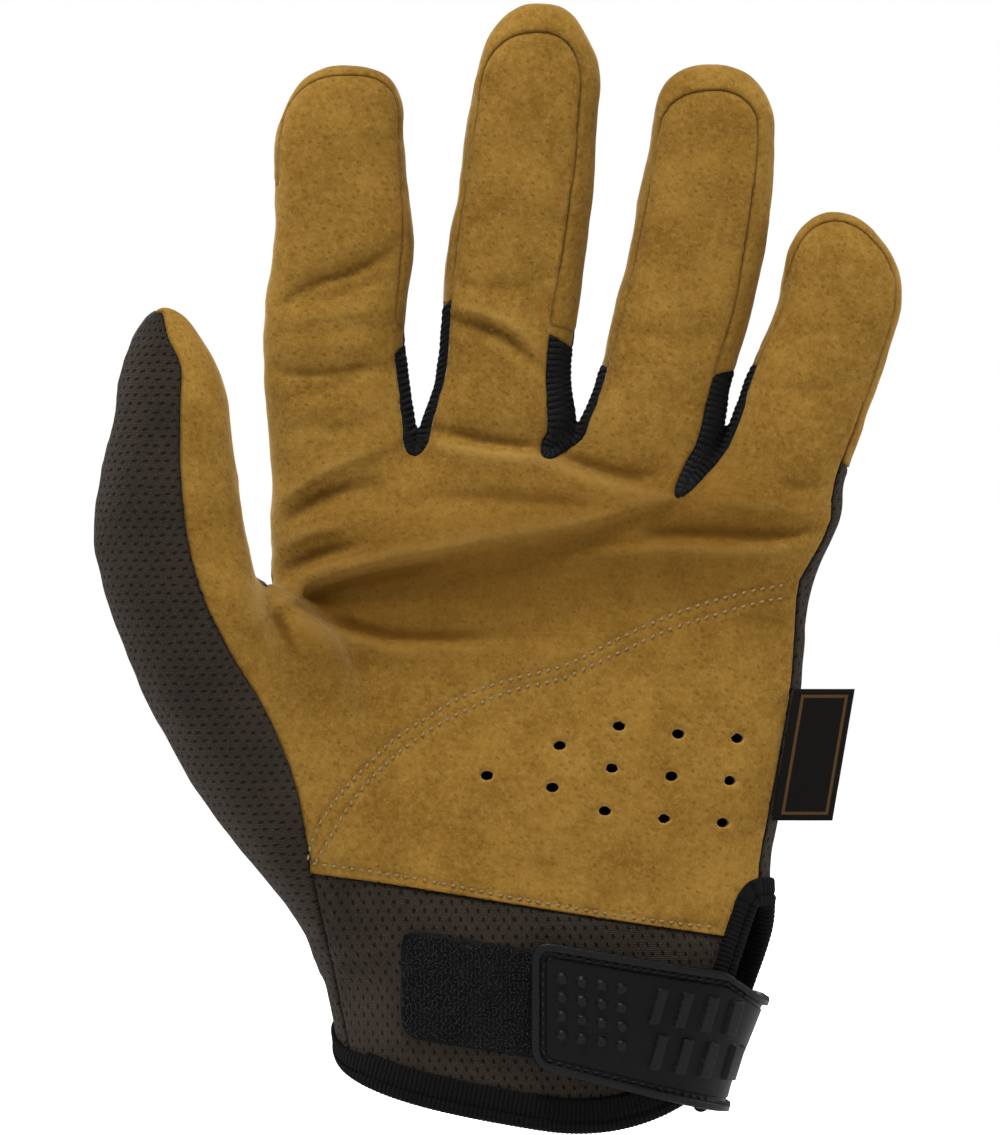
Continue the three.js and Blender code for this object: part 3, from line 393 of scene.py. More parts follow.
def surfaceOf(field, low, high, cell):
    # quads round the zero of a field, drawn on to it and evened out
    axes = [np.arange(low[k], high[k] + cell, cell) for k in range(3)]
    slabs = []
    width = max(4, int(24 / cell))
    for i in range(0, len(axes[0]), width):
        part = axes[0][i:i + width]
        slabs.append(field(part[:, None, None], axes[1][None, :, None], axes[2][None, None, :]).astype(np.float32))
    values = np.concatenate(slabs)
    inside = values < 0
    shape = [n - 1 for n in values.shape]
    total = np.zeros(shape, np.int8)
    for a in (0, 1):
        for b in (0, 1):
            for c in (0, 1):
                total += inside[a:a + shape[0], b:b + shape[1], c:c + shape[2]]
    cells = np.argwhere((total > 0) & (total < 8))
    ids = np.full(shape, -1)
    ids[tuple(cells.T)] = np.arange(len(cells))
    point = np.zeros((len(cells), 3))
    count = np.zeros(len(cells))
    corners = [np.array([a, b, c]) for a in (0, 1) for b in (0, 1) for c in (0, 1)]
    for p in corners:
        for q in corners:
            if (q - p).sum() == 1 and (q - p).min() == 0:
                va = values[tuple((cells + p).T)]
                vb = values[tuple((cells + q).T)]
                hit = (va < 0) != (vb < 0)
                t = np.where(hit, va / np.where(hit, va - vb, 1), 0)
                point[hit] += (cells + p + t[:, None] * (q - p))[hit]
                count[hit] += 1
    point = point / count[:, None] * cell + np.array(low)
    quads = []
    for axis in range(3):
        u, v = (axis + 1) % 3, (axis + 2) % 3
        a = np.moveaxis(inside, (axis, u, v), (0, 1, 2))
        c = np.moveaxis(ids, (axis, u, v), (0, 1, 2))
        first, second = a[:-1, 1:-1, 1:-1], a[1:, 1:-1, 1:-1]
        i, j, k = np.nonzero(first != second)
        loop = np.stack([c[i, j, k], c[i, j + 1, k], c[i, j + 1, k + 1], c[i, j, k + 1]], 1)
        turn = second[i, j, k]
        loop[turn] = loop[turn][:, ::-1]
        quads.append(loop)
    quads = np.concatenate(quads)
    for _ in range(3):
        point = evened(point, quads)
        point = drawnTo(field, point)
    return point, quads


def slopeOf(field, p, h=0.05):
    out = np.empty_like(p)
    for k in range(3):
        step = np.zeros(3)
        step[k] = h
        out[:, k] = (field(*(p + step).T) - field(*(p - step).T)) / (2 * h)
    return out


def drawnTo(field, p):
    g = slopeOf(field, p)
    move = field(*p.T)[:, None] * g / np.maximum((g * g).sum(1), 0.05)[:, None]
    length = np.linalg.norm(move, axis=1, keepdims=True)
    return p - move * np.minimum(1, 1.0 / np.maximum(length, 1e-9))


def evened(p, faces, share=0.5):
    a = faces.ravel()
    b = np.roll(faces, -1, axis=1).ravel()
    count = np.bincount(a, minlength=len(p)) + np.bincount(b, minlength=len(p))
    mean = np.empty_like(p)
    for k in range(3):
        mean[:, k] = (np.bincount(a, p[b, k], len(p)) + np.bincount(b, p[a, k], len(p))) / np.maximum(count, 1)
    return mix(p, mean, share)


def vertexNormals(p, tri):
    n = np.cross(p[tri[:, 1]] - p[tri[:, 0]], p[tri[:, 2]] - p[tri[:, 0]])
    out = np.zeros_like(p)
    for corner in range(3):
        for k in range(3):
            out[:, k] += np.bincount(tri[:, corner], n[:, k], len(p))
    return out / np.maximum(np.linalg.norm(out, axis=1, keepdims=True), 1e-12)


def triangles(p, quads):
    short = (np.linalg.norm(p[quads[:, 0]] - p[quads[:, 2]], axis=1)
             < np.linalg.norm(p[quads[:, 1]] - p[quads[:, 3]], axis=1))
    q = np.where(short[:, None], quads, np.roll(quads, -1, axis=1))
    return np.concatenate([q[:, [0, 1, 2]], q[:, [0, 2, 3]]])


# A skin is a dict: "at" holds a row for each vertex (place, then normal, then any masks), "tri" the triangles.
def cutSkin(skin, values, snap=0.14):
    # adds edges where the values pass through zero, and says which triangles lie on the positive side
    at, tri = skin["at"], skin["tri"]
    s = np.array(values, float)
    pairs = np.sort(np.concatenate([tri[:, [0, 1]], tri[:, [1, 2]], tri[:, [2, 0]]]), axis=1)
    a, b = s[pairs[:, 0]], s[pairs[:, 1]]
    cross = (a * b) < 0
    t = np.where(cross, a / np.where(cross, a - b, 1), 0.5)
    s[pairs[cross & (t < snap), 0]] = 0
    s[pairs[cross & (t > 1 - snap), 1]] = 0
    sign = np.sign(s).astype(int)
    corner = sign[tri]
    whole = ~((corner.min(1) < 0) & (corner.max(1) > 0))
    cutTri = tri[~whole]
    turned = cutTri.copy()
    signs = sign[turned]
    # turn each cut triangle so that its lone corner, or its corner on the line, comes first
    hasZero = (signs == 0).any(1)
    lone = np.where(hasZero, np.argmax(signs == 0, axis=1),
                    np.argmax(signs == -np.sign(signs.sum(1))[:, None], axis=1))
    order = (lone[:, None] + np.arange(3)) % 3
    turned = np.take_along_axis(turned, order, 1)
    pairsNeeded = np.concatenate([turned[hasZero][:, [1, 2]], turned[~hasZero][:, [0, 1]], turned[~hasZero][:, [0, 2]]])
    key = np.sort(pairsNeeded, axis=1)
    unique, where = np.unique(key, axis=0, return_inverse=True)
    where = where.reshape(-1)
    sa, sb = s[unique[:, 0]], s[unique[:, 1]]
    share = (sa / (sa - sb))[:, None]
    made = at[unique[:, 0]] * (1 - share) + at[unique[:, 1]] * share
    new = where + len(at)
    nz, nl = hasZero.sum(), (~hasZero).sum()
    m = new[:nz]
    p, q = new[nz:nz + nl], new[nz + nl:]
    z, l = turned[hasZero], turned[~hasZero]
    parts = [tri[whole],
             np.stack([z[:, 0], z[:, 1], m], 1), np.stack([z[:, 0], m, z[:, 2]], 1),
             np.stack([l[:, 0], p, q], 1), np.stack([p, l[:, 1], l[:, 2]], 1), np.stack([p, l[:, 2], q], 1)]
    fullSign = np.concatenate([sign, np.zeros(len(made), int)])
    tri = np.concatenate(parts)
    side = fullSign[tri].sum(1) > 0
    onLine = np.concatenate([s == 0, np.ones(len(made), bool)])
    return {"at": np.vstack([at, made]), "tri": tri}, side, onLine


def tidied(skin):
    used = np.unique(skin["tri"])
    index = np.full(len(skin["at"]), -1)
    index[used] = np.arange(len(used))
    return {"at": skin["at"][used], "tri": index[skin["tri"]]}


def bodiesOf(skin):
    # a label for each triangle's connected body
    label = np.arange(len(skin["at"]))
    t = skin["tri"]
    a = np.concatenate([t[:, 0], t[:, 1]])
    b = np.concatenate([t[:, 1], t[:, 2]])
    while True:
        old = label.copy()
        low = np.minimum(label[a], label[b])
        np.minimum.at(label, a, low)
        np.minimum.at(label, b, low)
        label = label[label]
        if (label == old).all():
            return label[t[:, 0]]


def mainBody(skin, least=12):
    # drops crumbs that a cut leaves
    label = bodiesOf(skin)
    count = np.bincount(label)
    return tidied({"at": skin["at"], "tri": skin["tri"][count[label] >= least]})


def split(skin, field):
    whole, side, _ = cutSkin(skin, field(*skin["at"][:, :3].T))
    return tidied({"at": whole["at"], "tri": whole["tri"][~side]}), tidied({"at": whole["at"], "tri": whole["tri"][side]})


def borderOf(tri):
    pairs = np.concatenate([tri[:, [0, 1]], tri[:, [1, 2]], tri[:, [2, 0]]])
    key = np.sort(pairs, axis=1)
    _, first, count = np.unique(key, axis=0, return_index=True, return_counts=True)
    return pairs[first[count == 1]]


def toBorder(skin, keep=None):
    # distance of each vertex from the skin's edge, measured to the edge's own segments
    p = skin["at"][:, :3]
    edge = borderOf(skin["tri"])
    if keep is not None:
        edge = edge[keep(p[edge].mean(1))]
    if not len(edge):
        return np.full(len(p), 99.0)
    corners = np.unique(edge)
    touching = {int(c): [] for c in corners}
    for a, b in edge:
        touching[int(a)].append(int(b))
        touching[int(b)].append(int(a))
    most = max(len(v) for v in touching.values())
    nextTo = np.array([(touching[int(c)] + [int(c)] * most)[:most] for c in corners])
    tree = KDTree(len(corners))
    for i, c in enumerate(corners):
        tree.insert(p[c], i)
    tree.balance()
    near = np.array([tree.find(v)[1] for v in p])
    start = p[corners[near]]
    best = np.linalg.norm(p - start, axis=1)
    for k in range(most):
        d = p[nextTo[near, k]] - start
        t = np.clip(((p - start) * d).sum(1) / np.maximum((d * d).sum(1), 1e-9), 0, 1)
        best = np.minimum(best, np.linalg.norm(p - start - t[:, None] * d, axis=1))
    return best


def withLoops(skin, values, levels):
    # edges parallel to a line, so that a small relief along it is crisp
    for level in levels:
        skin["at"] = np.column_stack([skin["at"], values])
        skin, _, _ = cutSkin(skin, skin["at"][:, -1] - level, snap=0.2)
        values = skin["at"][:, -1]
        skin["at"] = skin["at"][:, :-1]
    return skin, values


print("hull")
gloveLow, gloveHigh = (-106, -62, -24), (92, 32, 246)
hullPoints, hullQuads = surfaceOf(hullDistance, gloveLow, gloveHigh, detail["cell"])
hullTri = triangles(hullPoints, hullQuads)
hullNormals = vertexNormals(hullPoints, hullTri)
rest = {"at": np.hstack([hullPoints, hullNormals]), "tri": hullTri}
print("hull:", len(hullPoints), "vertices")

# Seams, as functions of place that are negative inside the piece
thumbSeam = [(-0.20, -1.0), (0.10, -0.45), (0.145, -0.02), (0.235, 0.45), (0.31, 0.61), (0.395, 0.60), (0.48, 0.42),
             (0.56, 0.29), (0.65, 0.26), (0.76, 0.22), (0.85, 0.19), (0.91, 0.20), (0.96, -0.05), (1.05, -0.25)]
thumbBackSeam = [(-0.30, 0.08), (0.15, 0.05), (0.36, -0.30), (0.50, -0.52), (0.635, -0.68), (0.76, -0.87),
                 (0.86, -0.99), (1.05, -1.06)]
sideSeams = {
    "index": {"left": 0.042, "right": 0.065, "top": 0.09, "leftFoot": 0.042, "rightFoot": 0.14,
              "leftEnd": 0.75, "rightEnd": 0.24},
    "middle": {"left": 0.06, "right": 0.18, "top": 0.31, "leftFoot": 0.12, "rightFoot": 0.30,
               "leftEnd": 0.33, "rightEnd": 0.25},
    "ring": {"left": 0.07, "right": 0.17, "top": 0.31, "leftFoot": 0.085, "rightFoot": 0.23,
             "leftEnd": 0.20, "rightEnd": 0.18},
    "little": {"left": 0.042, "right": 0.075, "top": 0.10, "leftFoot": 0.075, "rightFoot": 0.09,
               "leftEnd": 0.34, "rightEnd": -0.15},
}
crotches = [("index", "middle", 0.15, 0.26, -0.03), ("middle", "ring", 0.12, 0.26, -0.18),
            ("ring", "little", -0.02, 0.54, -0.36)]
sideHalf = fingerDepth * 0.21
thumbCapZ = limbs["thumb"][3]


def hemAt(x):
    return mix(wrist["hemLeft"], wrist["hemRight"], (x / palm["width"] + 0.387) / 0.77)


def thumbSeamX(z):
    x, _, half, *_ = thumbSection(np.clip(z, thumb["root"], thumbCapZ))
    return x + table(thumbSeam, 1, thumbAt(z)) * half


def cuffHeight(x, y, z):
    tilt = np.array([wrist["cuffRise"] / (0.335 * palm["width"]), -wrist["cuffDrop"] / (0.55 * palm["depth"]), 1])
    tilt = tilt / np.linalg.norm(tilt)
    # the end beside the slit curls up
    curl = 0.0075 * np.maximum(x - 6, 0) ** 2 * smoothStep(-y, 2, 10)
    return x * tilt[0] + y * tilt[1] + z * tilt[2] - np.minimum(curl, 8)


ventEdgeX = palm["width"] * wrist["ventEdge"]
ventShape = [(ventEdgeX, wrist["ventTop"]), (ventEdgeX - wrist["ventLean"] * (wrist["ventTop"] + 40), -40),
             (far, -40), (far, wrist["ventTop"])]


def slit(x, y, z):
    flat = closedDistance(ventShape, x, z)
    return smoothMax(flat, y - wrist["ventBack"], 3.0)


def smoothMax(a, b, k):
    return -smoothMin(-a, -b, k)


def thumbSideRegion(x, y, z):
    seamZ = np.linspace(wrist["hemLeft"] + 4, thumb["tip"] + 6, 60)
    wristZ = np.linspace(-40, wrist["hemLeft"], 6)
    wristX = thumbSeamX(np.array(wrist["hemLeft"])) + 0.2 * (wrist["hemLeft"] - wristZ)
    line = np.vstack([[-far, -40], np.column_stack([wristX, wristZ]), np.column_stack([thumbSeamX(seamZ), seamZ]),
                      [-far, thumb["tip"] + 6]])
    depth = table(thumbBackSeam, 1, thumbAt(z)) * thumb["reach"]
    return np.maximum(closedDistance(line, x, z), y - depth)


def wristRegion(x, y, z):
    return np.maximum(z - hemAt(x), y)


creaseX = palm["width"] * -0.483
thumbBackFoot = mix(thumb["root"], thumb["tip"], 0.46)


def thumbBackRegion(x, y, z, foot=thumbBackFoot):
    levels = np.linspace(foot, thumb["tip"] + 6, 24)
    t = thumbSection(np.minimum(levels, thumbCapZ))
    f = fingerSection("index", np.maximum(levels, fingerRoot))
    between = np.maximum(creaseX, (t[0] + t[3] + f[0] - f[2]) / 2)
    line = np.column_stack([np.where(levels < web["top"], creaseX, between), levels])
    outline = np.vstack([[-far, foot], line, [-far, thumb["tip"] + 6]])
    behind = thumbDepthAt(np.clip(z, thumb["root"], thumb["tip"])) + thumb["depth"] * 0.17
    meshEnd = table(thumbBackSeam, 1, thumbAt(z)) * thumb["reach"] - 3
    outward = smoothStep(thumbSeamX(z) - x, -1.0, 3.0) * smoothStep(z, 120, 135)
    behind = mix(behind, np.minimum(behind, meshEnd), outward)
    return np.maximum(closedDistance(outline, x, z), behind - y)


def seamInset(name, side, z):
    s = sideSeams[name]
    share = np.clip((z - palm["top"]) / (fingers[name]["tip"] - palm["top"]), 0, 1) ** 0.7
    return mix(s[side + "Foot"], s[side], share) * fingerDepth


def fingerOutline(name, leftFrom, rightFrom, insetOf, top):
    f = fingers[name]
    capFrom = limbs[name][3]
    tip = f["tip"] - top

    def side(sign, start, edge):
        z = np.concatenate([np.linspace(start, capFrom, 14)[:-1],
                            mix(capFrom, tip, np.sin(np.linspace(0, math.pi / 2, 14)))])
        z = z[:-1]
        half = fingerSection(name, np.minimum(z, capFrom))[2]
        t = np.clip((z - capFrom) / (tip - capFrom), 0, 1)
        reach = (half - insetOf(edge, z)) * (1 - t ** f["power"]) ** (1 / f["power"])
        return np.column_stack([fingerSection(name, z)[0] + sign * reach, z])
    apex = [[fingerSection(name, np.array(tip))[0], tip]]
    return np.vstack([side(-1, leftFrom, "left"), apex, side(1, rightFrom, "right")[::-1]])


def endHeight(name, end):
    return mix(palm["top"], fingers[name]["tip"], sideSeams[name][end])


def sideBack(y, z):
    return y - fingerMiddle(z) - sideHalf


def tipWallRegion(name):
    ends = [endHeight(name, end) for end in ("leftEnd", "rightEnd")]
    foot = min(ends) - fingerDepth / 2
    outside = fingerOutline(name, ends[0], ends[1], lambda edge, z: -4.0, -fingerDepth / 2)
    inside = fingerOutline(name, foot, foot, lambda edge, z: seamInset(name, edge, z),
                           sideSeams[name]["top"] * fingerDepth)

    def region(x, y, z):
        return np.maximum(np.maximum(closedDistance(outside, x, z), -closedDistance(inside, x, z)), sideBack(y, z))
    return region


def crotchOutline(a, b, up, drop, lean):
    start = palm["top"] + up * fingerDepth

    def rightOf(z):
        s = fingerSection(a, z)
        return s[0] + s[3] - seamInset(a, "right", z)

    def leftOf(z):
        s = fingerSection(b, z)
        return s[0] - s[2] + seamInset(b, "left", z)
    down = np.linspace(endHeight(a, "rightEnd"), start, 10)
    rise = np.linspace(start, endHeight(b, "leftEnd"), 10)
    low = np.array(start)
    middle, half = (rightOf(low) + leftOf(low)) / 2, (leftOf(low) - rightOf(low)) / 2
    turn = np.linspace(0, math.pi, 12)[1:-1]
    foot = np.column_stack([middle - half * np.cos(turn) + lean * fingerDepth * np.sin(turn),
                            start - drop * fingerDepth * np.sin(turn)])
    return np.vstack([np.column_stack([rightOf(down), down]), foot, np.column_stack([leftOf(rise), rise])])


def fourchetteRegion(crotch):
    outline = crotchOutline(*crotch)
    return lambda x, y, z: np.maximum(closedDistance(outline, x, z), sideBack(y, z))


def palmRegion(x, y, z):
    limit = np.where(x < fingers["index"]["rootX"],
                     mix(-sideHalf / 2, sideHalf, smoothStep(z, palm["top"] * 0.76, palm["top"] * 0.88)), -sideHalf / 2)
    forward = y - fingerMiddle(z) - limit
    levels = np.linspace(-palm["top"] / 4, endHeight("little", "rightEnd") + sideHalf, 40)
    p = palmSection(np.minimum(levels, limbs["palm"][3]))
    f = fingerSection("little", np.maximum(levels, fingerRoot))
    edge = np.maximum(p[3], np.where(levels > fingerRoot, f[0] + f[3], 0)) - palm["width"] * 0.018
    line = np.column_stack([edge, levels])
    outline = np.vstack([[-far, -80], [line[0, 0], -80], line, [far, line[-1, 1]], [far, 300], [-far, 300]])
    return np.maximum(np.maximum(forward, closedDistance(outline, x, z)), -thumbBackRegion(x, y, z, thumb["root"]))


print("seams")
pieces = {}
# the cloth runs a little way in under the bindings
_, rest = split(rest, lambda x, y, z: cuffHeight(x, y, z) - wrist["underTape"])
_, rest = split(rest, lambda x, y, z: slit(x, y, z) - wrist["underTape"])
pieces["thumb_side_panel"], rest = split(rest, thumbSideRegion)
pieces["wrist_panel"], rest = split(rest, wristRegion)
for crotch in crotches:
    pieces["fourchette_" + crotch[0] + "_" + crotch[1]], rest = split(rest, fourchetteRegion(crotch))
for name in fingers:
    pieces[name + "_tip_wall"], rest = split(rest, tipWallRegion(name))
pieces["palm_panel"], rest = split(rest, palmRegion)
pieces["thumb_back_panel"], pieces["back_panel"] = split(rest, thumbBackRegion)
pieces = {name: mainBody(skin) for name, skin in pieces.items()}
for name, skin in pieces.items():
    print("  ", name, len(skin["tri"]), "triangles in", len(np.unique(bodiesOf(skin))))

# Vent holes in the palm
holes = {"radius": 1.42, "flat": 1.3, "pitch": 13.3, "left": -0.029, "top": 0.564, "rowDrop": 0.71, "lean": -0.12,
         "columns": [(1, -0.22, 0.83), (2, 1, 0.32), (3, 2, 0.0), (3, 3, 0.14), (3, 4, 0.22)]}
holePlaces = [(holes["left"] * palm["width"] + (across + holes["lean"] * row) * holes["pitch"],
               holes["top"] * palm["top"] - (drop + holes["rowDrop"] * row) * holes["pitch"])
              for count, across, drop in holes["columns"] for row in range(count)]


def punched(skin):
    for hx, hz in holePlaces:
        p = skin["at"]
        radius = np.hypot(p[:, 0] - hx, (p[:, 2] - hz) * holes["flat"])
        radius = np.where(p[:, 1] < 0, radius, 99.0)
        for level in (holes["radius"] + 0.7, holes["radius"]):
            p = skin["at"]
            radius = np.where(p[:, 1] < 0, np.hypot(p[:, 0] - hx, (p[:, 2] - hz) * holes["flat"]), 99.0)
            skin, side, onLine = cutSkin(skin, radius - level, snap=0.2)
            p = skin["at"]
            dx, dz = p[:, 0] - hx, (p[:, 2] - hz) * holes["flat"]
            r = np.maximum(np.hypot(dx, dz), 1e-6)
            near = onLine & (np.abs(r - level) < 0.5) & (p[:, 1] < 0)
            p[near, 0] = hx + dx[near] / r[near] * level
            p[near, 2] = hz + dz[near] / r[near] * level / holes["flat"]
        skin = tidied({"at": skin["at"], "tri": skin["tri"][side]})
    return skin


pieces["palm_panel"] = punched(pieces["palm_panel"])


def holeShare(x, z, reach=0.8):
    best = np.full(x.shape, 99.0)
    for hx, hz in holePlaces:
        best = np.minimum(best, np.hypot(x - hx, (z - hz) * holes["flat"]) - holes["radius"])
    return best


# Stitch lines, seen from the front
stitchLines = {
    "arcUpper": [(-46.1, 51.1), (-45.2, 55.1), (-42.8, 60.5), (-37.8, 67.3), (-32.4, 72.9), (-27.0, 78.1),
                 (-19.4, 83.2), (-10.8, 88.2), (-0.5, 91.6), (11.2, 94.7), (22.1, 100.1), (31.3, 104.4),
                 (40.3, 107.8), (47.9, 110.0), (54.9, 111.6), (62.0, 112.7)],
    "arcLower": [(-44.6, 50.6), (-41.9, 55.1), (-37.8, 62.1), (-32.4, 69.1), (-26.3, 74.9), (-18.7, 80.5),
                 (-10.8, 84.8), (-0.5, 89.1), (11.2, 92.0), (22.1, 97.0), (34.4, 102.6), (45.0, 106.0),
                 (54.9, 108.7), (62.0, 109.8)],
    "hem": [(-45.5, 50.9), (-35.8, 49.5), (-22.7, 47.3), (-13.1, 45.5), (-0.5, 43.0), (10.1, 41.2),
            (23.9, 38.9), (37.6, 37.0), (45.0, 36.2)],
}
stitch = {"pitch": 2.15, "share": 0.62, "thread": 0.30, "sink": 0.35, "hole": 0.42}
stitchCurves = {name: curveThrough(points, 8) for name, points in stitchLines.items()}


def seamProfile(d, dip, width):
    # a rolled edge: steep at the seam, level a little way in
    t = np.clip(d / width, 0, 1)
    return -dip * (1 - np.sqrt(1 - (1 - t) ** 2))


pucker = softNoise(detail["seed"] + 2, 2.6)
bare = softNoise(detail["seed"] + 3, 9.0)


def panel(skin, thickness=None, dip=None, width=None, groove=(), out=None):
    # gives a skin its rolled edges, its sunken stitch lines and its thickness
    thickness = walls["thickness"] if thickness is None else thickness
    dip = walls["seamDip"] if dip is None else dip
    width = walls["seamWidth"] if width is None else width
    d = toBorder(skin)
    skin, d = withLoops(skin, d, (0.12 * width, 0.42 * width, width))
    for curve in groove:
        p = skin["at"]
        off = np.where(p[:, 1] < 0, alongLine(curve, p[:, 0], p[:, 2])[0], 99.0)
        skin["at"] = np.column_stack([skin["at"], d])
        skin, off = withLoops(skin, off, (0.25, 0.9))
        d = skin["at"][:, -1]
        skin["at"] = skin["at"][:, :-1]
    p, n = skin["at"][:, :3], skin["at"][:, 3:6]
    n = n / np.linalg.norm(n, axis=1, keepdims=True)
    scale = np.ones(len(p)) if out is None else out(p)
    offset = seamProfile(d, 1, width) * dip * scale
    offset += 0.30 * pucker(*p.T) * np.exp(-d / 3.0) * smoothStep(d, 0.2, 1.5)
    for curve in groove:
        off = np.where(p[:, 1] < 0, alongLine(curve, p[:, 0], p[:, 2])[0], 99.0)
        offset -= stitch["sink"] * np.exp(-(off / 0.75) ** 2)
    outer = p + n * offset[:, None]
    inner = p - n * (thickness + 0.25 * dip * np.exp(-d))[:, None]
    return {"outer": outer, "inner": inner, "tri": skin["tri"], "normal": n, "edge": d, "base": p}


def makeMesh(name, shell, uv, finish, lining=None, masks=None):
    # closes a shell with its inner side and rim, and hands it to Blender
    outer, inner, tri = shell["outer"], shell["inner"], shell["tri"]
    count = len(outer)
    edge = borderOf(tri)
    rim = np.concatenate([np.stack([edge[:, 1], edge[:, 0], edge[:, 0] + count], 1),
                          np.stack([edge[:, 1], edge[:, 0] + count, edge[:, 1] + count], 1)])
    faces = np.concatenate([tri, tri[:, ::-1] + count, rim])
    verts = np.concatenate([outer, inner]) * mm
    kinds = np.concatenate([np.zeros(len(tri), int), np.ones(len(tri), int), np.zeros(len(rim), int)])
    obj = meshObject(name, verts, faces, np.concatenate([uv, uv]), [finish] + ([lining] if lining else []),
                     kinds if lining else None)
    for label, values in (masks or {}).items():
        layer = obj.data.attributes.new(label, "FLOAT", "POINT")
        layer.data.foreach_set("value", np.concatenate([values, values]).astype(np.float32))
    return obj


def meshObject(name, verts, faces, uv, finishes, kinds=None):
    mesh = bpy.data.meshes.new(name)
    mesh.vertices.add(len(verts))
    mesh.vertices.foreach_set("co", np.ascontiguousarray(verts, np.float32).ravel())
    mesh.loops.add(len(faces) * 3)
    mesh.loops.foreach_set("vertex_index", faces.astype(np.int32).ravel())
    mesh.polygons.add(len(faces))
    mesh.polygons.foreach_set("loop_start", np.arange(0, 3 * len(faces), 3, dtype=np.int32))
    for finish in finishes:
        mesh.materials.append(finish)
    if kinds is not None:
        mesh.polygons.foreach_set("material_index", kinds.astype(np.int32))
    mesh.update(calc_edges=True)
    layer = mesh.uv_layers.new(name="cut")
    layer.data.foreach_set("uv", np.ascontiguousarray(uv[faces.ravel()], np.float32).ravel())
    mesh.polygons.foreach_set("use_smooth", np.ones(len(faces), bool))
    mesh.validate()
    obj = bpy.data.objects.new(name, mesh)
    bpy.context.scene.collection.objects.link(obj)
    return obj


# Where a place falls on the cut cloth, in mm: round the limb from its middle, and up.
def arcTable(corner, ratios=np.geomspace(0.35, 5.0, 24), parts=48):
    turn = np.linspace(0, math.pi / 2, parts)
    fine = np.linspace(0, math.pi / 2, parts * 8)
    rows = []
    for ratio in ratios:
        x = ratio * np.sin(fine) ** (2 / corner)
        y = np.cos(fine) ** (2 / corner)
        length = np.concatenate([[0], np.cumsum(np.hypot(np.diff(x), np.diff(y)))])
        rows.append(np.interp(turn, fine, length))
    return ratios, np.array(rows)


arcs = {corner: arcTable(corner) for corner in {limb[5] for limb in limbs.values()}}


def roundLimb(name, p, face):
    section, corner = limbs[name][0], limbs[name][5]
    cx, cy, left, right, front, back = section(p[:, 2])
    a = np.where(p[:, 0] > cx, right, left)
    b = np.where(p[:, 1] > cy, back, front)
    u = np.abs(p[:, 0] - cx) / a
    v = np.abs(p[:, 1] - cy) / b
    turn = np.arctan2(u ** (corner / 2), v ** (corner / 2))
    ratios, rows = arcs[corner]
    row = np.clip(np.log(a / b / ratios[0]) / math.log(ratios[1] / ratios[0]), 0, len(ratios) - 1.001)
    column = turn / (math.pi / 2) * (rows.shape[1] - 1) * 0.99999
    i, j = row.astype(int), column.astype(int)
    s, t = row - i, column - j
    arc = b * ((rows[i, j] * (1 - s) + rows[i + 1, j] * s) * (1 - t)
               + (rows[i, j + 1] * (1 - s) + rows[i + 1, j + 1] * s) * t)
    quarter = b * (rows[i, -1] * (1 - s) + rows[i + 1, -1] * s)
    facing = (p[:, 1] - cy) * face > 0
    arc = np.where(facing, arc, 2 * quarter - arc)
    return cx + np.sign(p[:, 0] - cx) * arc


def cutPlace(p, face):
    weight, across = 0, 0
    for name in limbs:
        near = np.exp(-np.maximum(limbDistance(name, *p.T), 0) / 1.2)
        weight = weight + near
        across = across + near * roundLimb(name, p, face)
    return np.column_stack([across / np.maximum(weight, 1e-9), p[:, 2]])


def alongOutline(outline, p):
    return np.column_stack([p[:, 1] * 1.0, alongLine(outline, p[:, 0], p[:, 2])[2]])


# Painted light that follows the folds: ridges are painted lighter as highlights, valleys painted darker as shade.
def blurred(sheetValues, radius):
    fx = np.fft.fftfreq(sheetValues.shape[0], sheet["step"])[:, None]
    fz = np.fft.rfftfreq(sheetValues.shape[1], sheet["step"])[None, :]
    soft = np.exp(-2 * (math.pi * radius) ** 2 * (fx ** 2 + fz ** 2))
    return np.fft.irfft2(np.fft.rfft2(sheetValues) * soft, sheetValues.shape)


ridgeSheet = blurred(foldSheet, 0.4) - blurred(foldSheet, 3.0)


def readRidge(p):
    i = np.clip(((p[:, 0] - sheet["low"][0]) / sheet["step"]).astype(int), 0, sheet["size"][0] - 1)
    j = np.clip(((p[:, 2] - sheet["low"][1]) / sheet["step"]).astype(int), 0, sheet["size"][1] - 1)
    return ridgeSheet[i, j] * smoothStep(-p[:, 1], 1.8, 9.0)


# painted shade across the middle of the palm, where it faces down: a broad band along this line is coloured darker
palmShadeBand = {"line": [(-36, 108), (-14, 113), (16, 119), (44, 124)], "spread": 20.0}


def hollowShare(p):
    away = alongLine(curveThrough(palmShadeBand["line"]), p[:, 0], p[:, 2])[0]
    return np.exp(-(away / palmShadeBand["spread"]) ** 2.4) * smoothStep(-p[:, 1], 1.8, 9.0)


# Node helpers
def put(tree, kind, settings=None, inputs=None):
    node = tree.nodes.new(kind)
    for key, value in (settings or {}).items():
        setattr(node, key, value)
    for key, value in (inputs or {}).items():
        if isinstance(value, bpy.types.NodeSocket):
            tree.links.new(value, node.inputs[key])
        else:
            node.inputs[key].default_value = value
    return node


def calc(tree, operation, *values, clamp=False):
    return put(tree, "ShaderNodeMath", {"operation": operation, "use_clamp": clamp}, dict(enumerate(values))).outputs[0]


def ranged(tree, value, low, high, toLow=0.0, toHigh=1.0):
    node = put(tree, "ShaderNodeMapRange", {"interpolation_type": "SMOOTHSTEP"},
               {"Value": value, "From Min": low, "From Max": high, "To Min": toLow, "To Max": toHigh})
    return node.outputs[0]


def blended(tree, share, a, b, mode="MIX"):
    node = put(tree, "ShaderNodeMix", {"data_type": "RGBA", "blend_type": mode})
    for index, value in ((0, share), (6, a), (7, b)):
        if isinstance(value, bpy.types.NodeSocket):
            tree.links.new(value, node.inputs[index])
        else:
            node.inputs[index].default_value = value
    return node.outputs[2]


